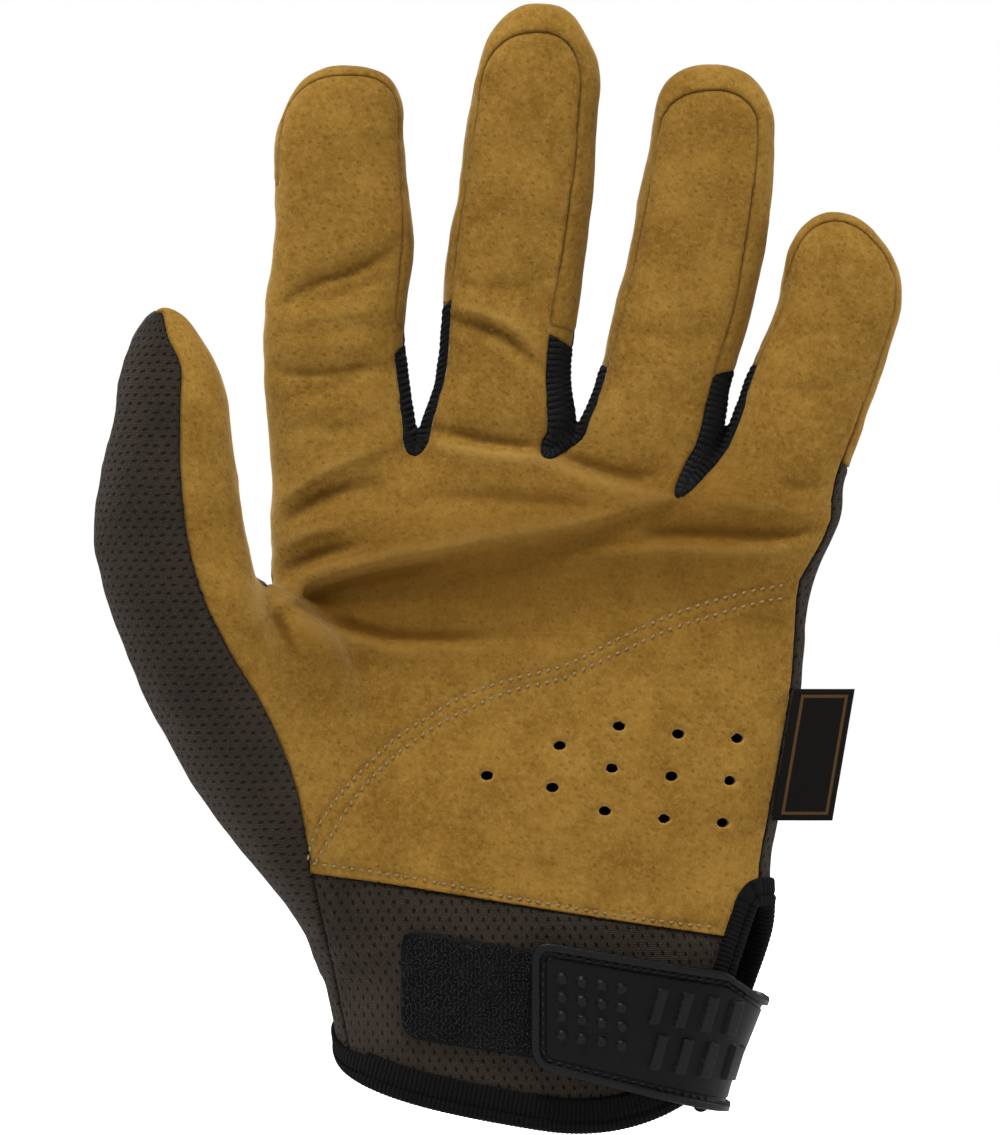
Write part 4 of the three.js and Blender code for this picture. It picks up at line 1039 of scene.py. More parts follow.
def newGroup(name, inputs, outputs):
    group = bpy.data.node_groups.new(name, "ShaderNodeTree")
    for label, kind, value in inputs:
        socket = group.interface.new_socket(label, in_out="INPUT", socket_type=kind)
        if value is not None:
            socket.default_value = value
    for label, kind in outputs:
        group.interface.new_socket(label, in_out="OUTPUT", socket_type=kind)
    return group, group.nodes.new("NodeGroupInput").outputs, group.nodes.new("NodeGroupOutput").inputs


def useGroup(tree, group, inputs):
    return put(tree, "ShaderNodeGroup", {"node_tree": group}, inputs).outputs


number, vector = "NodeSocketFloat", "NodeSocketVector"


def pressedMarksGroup():
    # short marks in staggered rows: mask of the marks, and a random value for each
    g, i, o = newGroup("pressedMarks", [
        ("Place", vector, None), ("Across", number, 2.2), ("Up", number, 2.0), ("Half Across", number, 0.3),
        ("Half Up", number, 0.6), ("Lean", number, 0.0), ("Scatter", number, 0.2), ("Edge", number, 0.5)],
        [("Mask", number), ("Chance", number)])
    xyz = put(g, "ShaderNodeSeparateXYZ", inputs={0: i["Place"]}).outputs
    rows = calc(g, "DIVIDE", xyz[1], i["Up"])
    row = calc(g, "FLOOR", rows)
    shift = calc(g, "MULTIPLY", calc(g, "FLOORED_MODULO", row, 2.0), 0.5)
    columns = calc(g, "ADD", calc(g, "DIVIDE", xyz[0], i["Across"]), shift)
    column = calc(g, "FLOOR", columns)
    cell = put(g, "ShaderNodeCombineXYZ", inputs={0: column, 1: row}).outputs[0]
    noise = put(g, "ShaderNodeTexWhiteNoise", {"noise_dimensions": "2D"}, {"Vector": cell}).outputs
    push = put(g, "ShaderNodeSeparateXYZ", inputs={0: noise["Color"]}).outputs
    u = calc(g, "SUBTRACT", calc(g, "SUBTRACT", columns, column), 0.5)
    v = calc(g, "SUBTRACT", calc(g, "SUBTRACT", rows, row), 0.5)
    u = calc(g, "MULTIPLY_ADD", calc(g, "SUBTRACT", push[0], 0.5), i["Scatter"], u)
    v = calc(g, "MULTIPLY_ADD", calc(g, "SUBTRACT", push[1], 0.5), i["Scatter"], v)
    u = calc(g, "MULTIPLY", u, i["Across"])
    v = calc(g, "MULTIPLY", v, i["Up"])
    u = calc(g, "MULTIPLY_ADD", v, i["Lean"], u)
    u = calc(g, "DIVIDE", u, i["Half Across"])
    v = calc(g, "DIVIDE", v, i["Half Up"])
    radius = calc(g, "SQRT", calc(g, "ADD", calc(g, "MULTIPLY", u, u), calc(g, "MULTIPLY", v, v)))
    near = put(g, "ShaderNodeMapRange", {"interpolation_type": "SMOOTHSTEP"},
               {"Value": radius, "From Min": i["Edge"], "From Max": 1.0, "To Min": 1.0, "To Max": 0.0}).outputs[0]
    g.links.new(near, o["Mask"])
    g.links.new(noise["Value"], o["Chance"])
    return g


def ribsGroup():
    # knitted ribs: height across the ribs with the fine knots along them
    g, i, o = newGroup("knitRibs", [("Place", vector, None), ("Pitch", number, 1.35), ("Knot", number, 0.55)],
                       [("Height", number), ("Knots", number)])
    xyz = put(g, "ShaderNodeSeparateXYZ", inputs={0: i["Place"]}).outputs
    wobble = put(g, "ShaderNodeTexNoise", inputs={"Vector": i["Place"], "Scale": 0.35, "Detail": 1.0}).outputs[0]
    u = calc(g, "MULTIPLY_ADD", calc(g, "SUBTRACT", wobble, 0.5), 0.5, xyz[0])
    rib = calc(g, "ABSOLUTE", calc(g, "SINE", calc(g, "DIVIDE", calc(g, "MULTIPLY", u, math.pi), i["Pitch"])))
    saw = calc(g, "PINGPONG", u, calc(g, "MULTIPLY", i["Pitch"], 0.5))
    knots = calc(g, "DIVIDE", calc(g, "ADD", xyz[1], calc(g, "MULTIPLY", saw, 0.8)), i["Knot"])
    knot = calc(g, "MULTIPLY_ADD", calc(g, "SINE", calc(g, "MULTIPLY", knots, 2 * math.pi)), 0.5, 0.5)
    g.links.new(calc(g, "POWER", rib, 0.6), o["Height"])
    g.links.new(knot, o["Knots"])
    return g


def fuzzGroup():
    # uneven tone and fine nap of a fibrous face, worked out in space so that it has no seams
    g, i, o = newGroup("fuzz", [("Blotch", number, 60.0), ("Nap", number, 900.0), ("Seed", number, 0.0)],
                       [("Tone", number), ("Nap", number), ("Clumps", number)])
    where = put(g, "ShaderNodeTexCoord").outputs["Object"]
    moved = put(g, "ShaderNodeVectorMath", {"operation": "ADD"}, {0: where, 1: i["Seed"]}).outputs[0]
    tone = put(g, "ShaderNodeTexNoise", inputs={"Vector": moved, "Scale": i["Blotch"], "Detail": 4.0, "Roughness": 0.6})
    nap = put(g, "ShaderNodeTexNoise", inputs={"Vector": moved, "Scale": i["Nap"], "Detail": 2.0, "Roughness": 0.7})
    clump = put(g, "ShaderNodeTexNoise", inputs={"Vector": moved, "Scale": calc(g, "MULTIPLY", i["Nap"], 0.3),
                                                 "Detail": 3.0, "Roughness": 0.65})
    for label, node in (("Tone", tone), ("Nap", nap), ("Clumps", clump)):
        g.links.new(node.outputs[0], o[label])
    return g


marksGroup, knitGroup, napGroup = pressedMarksGroup(), ribsGroup(), fuzzGroup()


def newFinish(name, roughness, specular=0.2, sheen=0.0, sheenTint=(1, 1, 1), sheenRoughness=0.5):
    finish = bpy.data.materials.new(name)
    finish.use_nodes = True
    tree = finish.node_tree
    shader = tree.nodes["Principled BSDF"]
    shader.inputs["Roughness"].default_value = roughness
    shader.inputs["Specular IOR Level"].default_value = specular
    shader.inputs["Sheen Weight"].default_value = sheen
    shader.inputs["Sheen Tint"].default_value = (*sheenTint, 1)
    shader.inputs["Sheen Roughness"].default_value = sheenRoughness
    return finish, tree, shader


def bumped(tree, shader, height, strength, distance, normal=None):
    inputs = {"Height": height, "Strength": strength, "Distance": distance}
    if normal is not None:
        inputs["Normal"] = normal
    node = put(tree, "ShaderNodeBump", inputs=inputs)
    tree.links.new(node.outputs[0], shader.inputs["Normal"])
    return node.outputs[0]


def cutUv(tree):
    return put(tree, "ShaderNodeUVMap", {"uv_map": "cut"}).outputs[0]


def mask(tree, name):
    return put(tree, "ShaderNodeAttribute", {"attribute_name": name}).outputs["Fac"]


# the pale nap colour also serves as a painted highlight on fold ridges; the fold valley and palm colours are painted
# shade
suede = {"light": (0.300, 0.163, 0.029, 1), "dark": (0.205, 0.102, 0.0145, 1), "fleck": (0.115, 0.052, 0.007, 1),
         "paleNapAndHighlight": (0.405, 0.247, 0.064, 1), "paintedValleyShade": (0.070, 0.029, 0.003, 1), "seam": (0.080, 0.036, 0.006, 1),
         "hollow": (0.120, 0.052, 0.005, 1)}


def suedeFinish():
    finish, tree, shader = newFinish("suede", 0.93, 0.06, 0.36, (1.0, 0.80, 0.42), 0.34)
    nap = useGroup(tree, napGroup, {"Blotch": 75.0, "Nap": 1900.0})
    marks = useGroup(tree, marksGroup, {"Place": cutUv(tree), "Across": 2.2, "Up": 1.75, "Half Across": 0.85,
                                        "Half Up": 0.66, "Lean": 0.45, "Scatter": 0.75, "Edge": 0.05})
    ridge = mask(tree, "ridge")
    color = blended(tree, ranged(tree, nap["Tone"], 0.25, 0.75), suede["dark"], suede["light"])
    strength = calc(tree, "MULTIPLY", marks["Mask"], ranged(tree, marks["Chance"], 0.25, 0.95, 0.06, 0.66))
    strength = calc(tree, "MULTIPLY", strength, ranged(tree, nap["Clumps"], 0.3, 0.6, 0.35, 1.0))
    color = blended(tree, strength, color, suede["fleck"])
    color = blended(tree, ranged(tree, nap["Clumps"], 0.45, 0.72, 0.0, 0.30), color, suede["paleNapAndHighlight"])
    color = blended(tree, ranged(tree, nap["Clumps"], 0.28, 0.46, 0.34, 0.0), color, suede["fleck"])
    color = blended(tree, ranged(tree, nap["Nap"], 0.52, 0.74, 0.0, 0.42), color, suede["paleNapAndHighlight"])
    color = blended(tree, ranged(tree, nap["Nap"], 0.28, 0.48, 0.36, 0.0), color, suede["fleck"])
    # painted highlight on the fold ridges, then painted shade in the fold valleys
    color = blended(tree, ranged(tree, ridge, 0.12, 1.1, 0.0, 0.42), color, suede["paleNapAndHighlight"])
    color = blended(tree, ranged(tree, calc(tree, "MULTIPLY", ridge, -1.0), 0.08, 1.1, 0.0, 0.75), color,
                    suede["paintedValleyShade"])
    # painted shade across the middle of the palm
    color = blended(tree, calc(tree, "MULTIPLY", mask(tree, "hollow"), 0.6), color, suede["hollow"])
    color = blended(tree, ranged(tree, mask(tree, "edge"), 0.2, 1.0, 0.0, 0.55), color, suede["seam"])
    color = blended(tree, ranged(tree, mask(tree, "rim"), 0.1, 0.9, 0.0, 0.6), color, suede["paleNapAndHighlight"])
    tree.links.new(color, shader.inputs["Base Color"])
    height = calc(tree, "ADD", calc(tree, "MULTIPLY", nap["Nap"], 0.40), calc(tree, "MULTIPLY", nap["Clumps"], 0.6))
    height = calc(tree, "SUBTRACT", height, calc(tree, "MULTIPLY", strength, 0.9))
    bumped(tree, shader, height, 0.7, 0.00026)
    return finish


def meshFinish(name, across, up, halfAcross, halfUp, lean, scatter, depth=0.0005):
    finish, tree, shader = newFinish(name, 0.85, 0.12, 0.06, (0.75, 0.68, 0.62), 0.4)
    nap = useGroup(tree, napGroup, {"Blotch": 90.0, "Nap": 2200.0, "Seed": 3.0})
    place = cutUv(tree)
    marks = useGroup(tree, marksGroup, {"Place": place, "Across": across, "Up": up, "Half Across": halfAcross,
                                        "Half Up": halfUp, "Lean": lean, "Scatter": scatter, "Edge": 0.25})
    threads = useGroup(tree, marksGroup, {"Place": place, "Across": 0.52, "Up": 0.45, "Half Across": 0.3,
                                          "Half Up": 0.3, "Lean": 0.5, "Scatter": 0.25, "Edge": 0.0})
    color = blended(tree, ranged(tree, nap["Tone"], 0.3, 0.7), (0.0185, 0.0137, 0.0098, 1), (0.029, 0.0214, 0.0154, 1))
    color = blended(tree, calc(tree, "MULTIPLY", threads["Mask"], 0.65), color, (0.060, 0.045, 0.033, 1))
    color = blended(tree, ranged(tree, nap["Nap"], 0.5, 0.75, 0.0, 0.4), color, (0.088, 0.067, 0.050, 1))
    color = blended(tree, calc(tree, "MULTIPLY", marks["Mask"], 0.9), color, (0.004, 0.0035, 0.003, 1))
    color = blended(tree, ranged(tree, mask(tree, "edge"), 0.2, 1.0, 0.0, 0.7), color, (0.006, 0.005, 0.004, 1))
    tree.links.new(color, shader.inputs["Base Color"])
    height = calc(tree, "SUBTRACT", calc(tree, "MULTIPLY", threads["Mask"], 0.3), marks["Mask"])
    bumped(tree, shader, height, 0.8, depth)
    return finish


def plainKnitFinish():
    finish, tree, shader = newFinish("smoothKnit", 0.7, 0.25, 0.15, (0.8, 0.8, 0.82), 0.35)
    nap = useGroup(tree, napGroup, {"Blotch": 70.0, "Nap": 1800.0, "Seed": 5.0})
    weave = useGroup(tree, knitGroup, {"Place": cutUv(tree), "Pitch": 0.6, "Knot": 0.4})
    color = blended(tree, ranged(tree, nap["Tone"], 0.3, 0.7), (0.040, 0.040, 0.042, 1), (0.058, 0.058, 0.061, 1))
    color = blended(tree, ranged(tree, mask(tree, "edge"), 0.2, 1.0, 0.0, 0.7), color, (0.01, 0.01, 0.01, 1))
    tree.links.new(color, shader.inputs["Base Color"])
    bumped(tree, shader, calc(tree, "ADD", weave["Height"], weave["Knots"]), 0.5, 0.00012)
    return finish


def ribFinish(name, pitch, knot, depth, tint=0.011):
    finish, tree, shader = newFinish(name, 0.92, 0.05, 0.015, (0.8, 0.8, 0.8), 0.4)
    nap = useGroup(tree, napGroup, {"Blotch": 120.0, "Nap": 2600.0, "Seed": 9.0})
    weave = useGroup(tree, knitGroup, {"Place": cutUv(tree), "Pitch": pitch, "Knot": knot})
    low, high = tint * 0.3, tint * 3.6
    # painted shade: darker down in the rib grooves; painted highlight: lighter on the knots along the rib crests; the
    # nap's fuzz lightens it a little too
    color = blended(tree, weave["Height"], (low, low, low, 1), (tint, tint, tint * 1.04, 1))
    color = blended(tree, calc(tree, "MULTIPLY", calc(tree, "MULTIPLY", weave["Knots"], weave["Height"]), 0.6), color,
                    (high, high, high * 1.03, 1))
    color = blended(tree, calc(tree, "MULTIPLY", ranged(tree, nap["Nap"], 0.45, 0.75), 0.35), color,
                    (high, high, high, 1))
    tree.links.new(color, shader.inputs["Base Color"])
    height = calc(tree, "ADD", weave["Height"], calc(tree, "MULTIPLY", weave["Knots"], 0.45))
    bumped(tree, shader, calc(tree, "ADD", height, calc(tree, "MULTIPLY", nap["Nap"], 0.25)), 0.8, depth)
    return finish


def pileFinish():
    finish, tree, shader = newFinish("loopPile", 0.6, 0.09, 0.01, (0.8, 0.8, 0.8), 0.3)
    nap = useGroup(tree, napGroup, {"Blotch": 200.0, "Nap": 1400.0, "Seed": 13.0})
    color = blended(tree, ranged(tree, nap["Clumps"], 0.35, 0.7), (0.0012, 0.0012, 0.0012, 1), (0.0048, 0.0048, 0.0051, 1))
    tree.links.new(color, shader.inputs["Base Color"])
    bumped(tree, shader, calc(tree, "ADD", nap["Clumps"], calc(tree, "MULTIPLY", nap["Nap"], 0.5)), 0.9, 0.0006)
    return finish


def loopFinish():
    finish, tree, shader = newFinish("loopThread", 0.42, 0.45)
    nap = useGroup(tree, napGroup, {"Blotch": 300.0, "Nap": 2600.0, "Seed": 19.0})
    color = blended(tree, ranged(tree, nap["Tone"], 0.35, 0.65), (0.002, 0.002, 0.002, 1), (0.0105, 0.0105, 0.0109, 1))
    tree.links.new(color, shader.inputs["Base Color"])
    bumped(tree, shader, nap["Nap"], 0.4, 0.00005)
    return finish


def rubberFinish():
    finish, tree, shader = newFinish("tabRubber", 0.5, 0.13)
    nap = useGroup(tree, napGroup, {"Blotch": 45.0, "Nap": 2400.0, "Seed": 17.0})
    raised = mask(tree, "raised")
    color = blended(tree, ranged(tree, nap["Tone"], 0.3, 0.7), (0.0022, 0.0022, 0.0024, 1), (0.0036, 0.0036, 0.0039, 1))
    # painted highlight: the raised rim, studs and bars are coloured lighter
    color = blended(tree, calc(tree, "MULTIPLY", raised, 0.45), color, (0.015, 0.015, 0.016, 1))
    tree.links.new(color, shader.inputs["Base Color"])
    rough = calc(tree, "MULTIPLY_ADD", nap["Clumps"], 0.14, 0.40)
    tree.links.new(calc(tree, "SUBTRACT", rough, calc(tree, "MULTIPLY", raised, 0.05)), shader.inputs["Roughness"])
    bumped(tree, shader, nap["Nap"], 0.35, 0.00006)
    return finish


labelSize = {"width": 13.6, "height": 29.5, "top": 89.2, "slant": 0.17, "thickness": 0.9, "depth": -6.5,
             "seamShare": 0.12}


def labelFinish():
    finish, tree, shader = newFinish("wovenLabel", 0.85, 0.08, 0.01, (0.8, 0.8, 0.8), 0.4)
    place = cutUv(tree)
    xyz = put(tree, "ShaderNodeSeparateXYZ", inputs={0: place}).outputs
    weave = useGroup(tree, knitGroup, {"Place": place, "Pitch": 0.42, "Knot": 0.42})
    # a thin brown frame, woven in a little way from the edges
    across = calc(tree, "SUBTRACT", calc(tree, "ABSOLUTE", calc(tree, "SUBTRACT", xyz[0], 7.1)), 4.9)
    up = calc(tree, "SUBTRACT", calc(tree, "ABSOLUTE", calc(tree, "SUBTRACT", xyz[1], labelSize["height"] / 2)), 13.1)
    frameLine = calc(tree, "ABSOLUTE", calc(tree, "MAXIMUM", across, up))
    line = ranged(tree, frameLine, 0.22, 0.42, 1.0, 0.0)
    color = blended(tree, weave["Knots"], (0.004, 0.0034, 0.0028, 1), (0.010, 0.0085, 0.007, 1))
    color = blended(tree, line, color, (0.085, 0.045, 0.018, 1))
    tree.links.new(color, shader.inputs["Base Color"])
    bumped(tree, shader, calc(tree, "ADD", weave["Height"], calc(tree, "MULTIPLY", line, 0.8)), 0.7, 0.00012)
    return finish


def threadFinish(name, light, dark):
    finish, tree, shader = newFinish(name, 0.7, 0.15, 0.03, (1, 1, 1), 0.3)
    place = cutUv(tree)
    xyz = put(tree, "ShaderNodeSeparateXYZ", inputs={0: place}).outputs
    twist = calc(tree, "SINE", calc(tree, "MULTIPLY", calc(tree, "ADD", xyz[0], calc(tree, "MULTIPLY", xyz[1], 1.4)), 14.0))
    twist = calc(tree, "MULTIPLY_ADD", twist, 0.5, 0.5)
    color = blended(tree, twist, [0.6 * a + 0.4 * b for a, b in zip(light, dark)], light)
    # painted shade: each stitch darkens towards its ends, where it dips into its hole
    phase = calc(tree, "SUBTRACT", calc(tree, "FRACT", calc(tree, "DIVIDE", xyz[0], stitch["pitch"])), 0.5)
    color = blended(tree, ranged(tree, calc(tree, "ABSOLUTE", phase), 0.20, 0.30), color, dark)
    tree.links.new(color, shader.inputs["Base Color"])
    bumped(tree, shader, twist, 0.6, 0.00006)
    return finish


def liningFinish():
    finish, tree, shader = newFinish("lining", 0.95, 0.1)
    weave = useGroup(tree, knitGroup, {"Place": cutUv(tree), "Pitch": 0.9, "Knot": 0.6})
    tree.links.new(blended(tree, weave["Knots"], (0.008, 0.007, 0.006, 1), (0.016, 0.014, 0.012, 1)),
                   shader.inputs["Base Color"])
    bumped(tree, shader, weave["Height"], 0.5, 0.0002)
    return finish


print("finishes")
finishes = {
    "suede": suedeFinish(),
    "thumbMesh": meshFinish("thumbMesh", 2.45, 1.8, 0.86, 0.52, -0.55, 0.2, 0.0009),
    "wristMesh": meshFinish("wristMesh", 2.4, 1.95, 0.46, 0.86, 0.12, 0.12, 0.0008),
    "smoothKnit": plainKnitFinish(),
    "gussetKnit": ribFinish("gussetKnit", 1.4, 0.5, 0.0004, 0.0085),
    "bindingKnit": ribFinish("bindingKnit", 1.05, 0.55, 0.0005, 0.0042),
    "loopPile": pileFinish(),
    "loopThread": loopFinish(),
    "tabRubber": rubberFinish(),
    "wovenLabel": labelFinish(),
    "tanThread": threadFinish("tanThread", (0.40, 0.27, 0.14, 1), (0.035, 0.018, 0.006, 1)),
    "blackThread": threadFinish("blackThread", (0.022, 0.022, 0.023, 1), (0.008, 0.008, 0.008, 1)),
    "lining": liningFinish(),
}


def placed(obj, node=None):
    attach(obj, "root")
    if node:
        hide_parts(node)
    return obj


def finer(skin):
    # every triangle in four, with the new points drawn on to the glove
    tri, rows = skin["tri"], skin["at"]
    ends = np.sort(np.concatenate([tri[:, [0, 1]], tri[:, [1, 2]], tri[:, [2, 0]]]), 1)
    ends, which = np.unique(ends, axis=0, return_inverse=True)
    middle = (rows[ends[:, 0]] + rows[ends[:, 1]]) / 2
    border = borderOf(tri)
    rim = set(map(tuple, np.sort(border, 1)))
    inner = np.array([tuple(e) not in rim for e in ends])
    middle[inner, :3] = drawnTo(hullDistance, middle[inner, :3])
    ab, bc, ca = which.reshape(3, -1) + len(rows)
    a, b, c = tri.T
    faces = np.concatenate([np.stack(f, 1) for f in ((a, ab, ca), (ab, b, bc), (ca, bc, c), (ab, bc, ca))])
    return {"at": np.vstack([rows, middle]), "tri": faces}


def ribbed(outline):
    def bulge(p):
        u = alongLine(outline, p[:, 0], p[:, 2])[2]
        return 0.42 * (np.abs(np.sin(math.pi * (u + 0.25 * p[:, 1]) / 1.4)) ** 0.8 - 0.55)
    return bulge


def shyEnds(heights):
    def scale(p):
        near = np.min([np.abs(p[:, 2] - h) for h in heights], axis=0)
        return mix(0.1, 1.0, smoothStep(near, 4.5, 7.0))
    return scale


wallEnds = [endHeight(name, end) for name in ("index", "middle", "ring") for end in ("leftEnd", "rightEnd")]


def nearHem(p):
    # the palm leather lies over the wrist, so its lower edge isn't rolled in
    hem = (np.abs(p[:, 2] - hemAt(p[:, 0])) < 2.5) & (p[:, 1] < -4) & (np.abs(p[:, 0]) < 52)
    return np.where(hem, -0.45, shyEnds(wallEnds)(p))


def underHem(p):
    hem = (np.abs(p[:, 2] - hemAt(p[:, 0])) < 3) & (p[:, 1] < -4)
    return np.where(hem, 1.3, 1.0)


print("panels")
panels = {
    "palm_panel": {"finish": "suede", "slot": "suede", "face": -1, "out": nearHem,
                   "groove": [stitchCurves["arcUpper"], stitchCurves["arcLower"], stitchCurves["hem"]]},
    "back_panel": {"finish": "wristMesh", "slot": "mesh_knit", "face": 1, "out": shyEnds(wallEnds)},
    "thumb_side_panel": {"finish": "thumbMesh", "slot": "mesh_knit", "face": -1},
    "thumb_back_panel": {"finish": "smoothKnit", "slot": "smooth_knit", "face": 1},
    "wrist_panel": {"finish": "wristMesh", "slot": "mesh_knit", "face": -1, "out": underHem},
}
for name in fingers:
    panels[name + "_tip_wall"] = {"finish": "suede", "slot": "suede",
                                  "out": shyEnds([endHeight(name, "leftEnd"), endHeight(name, "rightEnd")]),
                                  "outline": fingerOutline(name, endHeight(name, "leftEnd") - 20,
                                                           endHeight(name, "rightEnd") - 20,
                                                           lambda edge, z: 0 * z, 0)}
for crotch in crotches:
    name, outline = "fourchette_" + crotch[0] + "_" + crotch[1], crotchOutline(*crotch)
    panels[name] = {"finish": "gussetKnit", "slot": "black_knit", "outline": outline, "bulge": ribbed(outline),
                    "out": shyEnds([endHeight(crotch[0], "rightEnd"), endHeight(crotch[1], "leftEnd")])}
    pieces[name] = finer(finer(pieces[name]))
for name, about in panels.items():
    shell = panel(pieces[name], groove=about.get("groove", ()), out=about.get("out"))
    base = shell["base"]
    if "bulge" in about:
        shell["outer"] = shell["outer"] + shell["normal"] * about["bulge"](base)[:, None]
    place = alongOutline(about["outline"], base)[:, ::-1] if "outline" in about else cutPlace(base, about["face"])
    # ridge: painted highlight on fold ridges and painted shade in their valleys; the palm mask after it: painted shade
    # across the palm
    masks = {"edge": np.exp(-shell["edge"] / 0.7), "ridge": readRidge(base), "hollow": hollowShare(base)}
    if name == "palm_panel":
        rimOf = holeShare(base[:, 0], base[:, 2])
        masks["rim"] = np.where(base[:, 1] < 0, np.exp(-np.maximum(rimOf, 0) / 0.35), 0)
        masks["edge"] = masks["edge"] * (1 - smoothStep(-rimOf, -2.0, -1.5))
    obj = makeMesh(name + "_sewn", shell, place, finishes[about["finish"]], finishes["lining"], masks)
    placed(obj, name)
    print("  ", name, len(obj.data.polygons), "triangles")


# Bindings: a tape folded round an edge, with its knitted ribs
tape = {"pitch": 1.05, "rib": 0.16, "step": 4}


def evenPath(points, step):
    p = np.asarray(points, float)
    length = np.concatenate([[0], np.cumsum(np.linalg.norm(np.diff(p, axis=0), axis=1))])
    at = np.linspace(0, length[-1], max(2, int(round(length[-1] / step)) + 1))
    return np.column_stack([np.interp(at, length, p[:, k]) for k in range(3)]), at


def onBoth(fieldA, fieldB, p, rounds=14):
    for _ in range(rounds):
        p = drawnTo(fieldA, p)
        p = drawnTo(fieldB, p)
    return p


def smoothPath(p, rounds=6):
    for _ in range(rounds):
        p[1:-1] = 0.5 * p[1:-1] + 0.25 * (p[:-2] + p[2:])
    return p


def tapeMesh(name, path, inward, width, proud, finish, tuck=0.0):
    # inward says which way the cloth lies; the tape is as thick as the cloth and stands proud on both sides
    step = tape["pitch"] / tape["step"]
    path, at = evenPath(path, step)
    tangent = np.gradient(path, axis=0)
    tangent /= np.linalg.norm(tangent, axis=1, keepdims=True)
    normal = slopeOf(hullDistance, path)
    normal -= (normal * tangent).sum(1)[:, None] * tangent
    normal /= np.linalg.norm(normal, axis=1, keepdims=True)
    into = np.cross(normal, tangent)
    flip = np.sign((into * inward(path)).sum(1))[:, None]
    into = into * flip
    for _ in range(8):
        into[1:-1] = 0.5 * into[1:-1] + 0.25 * (into[:-2] + into[2:])
    into /= np.linalg.norm(into, axis=1, keepdims=True)
    thick = walls["thickness"] + 2 * proud
    middle = proud - thick / 2
    turn = np.linspace(-math.pi / 2, math.pi / 2, 9)
    round_ = [(0.9 - thick * 0.42 * math.cos(t), middle - thick / 2 * math.sin(t)) for t in turn]
    outer = [(width, 0.35), (width - 0.15, proud * 0.8), (width - 0.7, proud)]
    outer += [(w, proud) for w in np.linspace(width - 0.7, 3.0, 5)[1:]]
    outer += [(2.6, proud - 0.35), (2.3, proud - 0.3), (1.9, proud + 0.05), (1.4, proud + 0.2)]
    inner = [(w, middle - thick / 2) for w in np.linspace(1.6, width - 0.7, 4)] + [(width - 0.2, middle - 0.6)]
    profile = outer + [(m, level) for m, level in round_] + inner
    rib = np.abs(np.sin(math.pi * at / tape["pitch"])) ** 0.7
    rows = []
    # the cuff's band narrows where it turns to the back at the thumb side
    narrow = 1 - 0.34 * np.exp(-(((path[:, 0] + 42) / 7) ** 2)) * (path[:, 1] > -12) if width > 7 else 1
    for m, level in profile:
        outside = level > middle - 0.3
        bulge = tape["rib"] * (rib - 0.5) * (1 if outside else 0.3) * (0 if m > width - 0.1 else 1)
        guess = path + into * (m * (narrow if m > 2 else 1) * np.ones(len(path)))[:, None] + normal * level
        if 0.9 < m:
            guess = drawnTo(lambda x, y, z: hullDistance(x, y, z) - level, guess)
        if outside:
            away = normal if m > 0.9 else normal * (level - middle) / (thick / 2) - into * 0.8
            guess = guess + away * bulge[:, None]
        rows.append(guess)
    grid = np.stack(rows, 1)
    n, k = grid.shape[:2]
    ids = np.arange(n * k).reshape(n, k)
    a, b = ids[:-1], ids[1:]
    nextColumn = lambda m: np.roll(m, -1, axis=1)
    quads = np.stack([a, nextColumn(a), nextColumn(b), b], -1).reshape(-1, 4)
    tri = np.concatenate([quads[:, [0, 1, 2]], quads[:, [0, 2, 3]]])
    points = grid.reshape(-1, 3)
    caps = []
    for end, turned in ((0, True), (n - 1, False)):
        centre = len(points)
        points = np.vstack([points, grid[end].mean(0)])
        ring = ids[end]
        fan = np.stack([np.full(k, centre), ring, np.roll(ring, -1)], 1)
        caps.append(fan[:, ::-1] if turned else fan)
    tri = np.concatenate([tri] + caps)
    wrap = np.concatenate([[0], np.cumsum(np.linalg.norm(np.diff(np.array(profile), axis=0), axis=1))])
    uv = np.column_stack([np.repeat(at, k), np.tile(wrap, n)])
    uv = np.vstack([uv, uv[:1], uv[-1:]])
    volume = (points[tri[:, 0]] * np.cross(points[tri[:, 1]], points[tri[:, 2]])).sum()
    if volume < 0:
        tri = tri[:, ::-1]
    return meshObject(name, points * mm, tri, uv, [finish])


print("bindings")
cuffStart, cuffEnd = math.radians(-25), math.radians(-355)
turns = np.linspace(cuffStart, cuffEnd, 240)
cuffGuess = np.column_stack([44 * np.cos(turns), 18 * np.sin(turns), np.zeros(240)])
cuffPath = smoothPath(onBoth(hullDistance, cuffHeight, cuffGuess))
cuffTape = tapeMesh("cuff_tape", cuffPath, lambda p: np.tile([0, 0, 1.0], (len(p), 1)), wrist["band"],
                    wrist["proud"], finishes["bindingKnit"])
placed(cuffTape, "cuff_binding")

frontZ = np.linspace(3, 36, 40)
ventGuess = np.vstack([
    np.column_stack([ventEdgeX - wrist["ventLean"] * (wrist["ventTop"] - frontZ), np.full(40, -14.0), frontZ]),
    np.column_stack([np.linspace(53, 58, 24), np.linspace(-13, 0, 24), np.full(24, 41.0)]),
    np.column_stack([np.linspace(57, 44, 40), np.full(40, 2.0), frontZ[::-1]])])
ventPath = smoothPath(onBoth(hullDistance, slit, ventGuess), 14)
ventTape = tapeMesh("vent_tape", ventPath, lambda p: slopeOf(slit, p), wrist["ventTape"], wrist["proud"],
                    finishes["bindingKnit"])
placed(ventTape, "vent_binding")
print("bindings:", len(cuffTape.data.polygons), len(ventTape.data.polygons), "triangles")

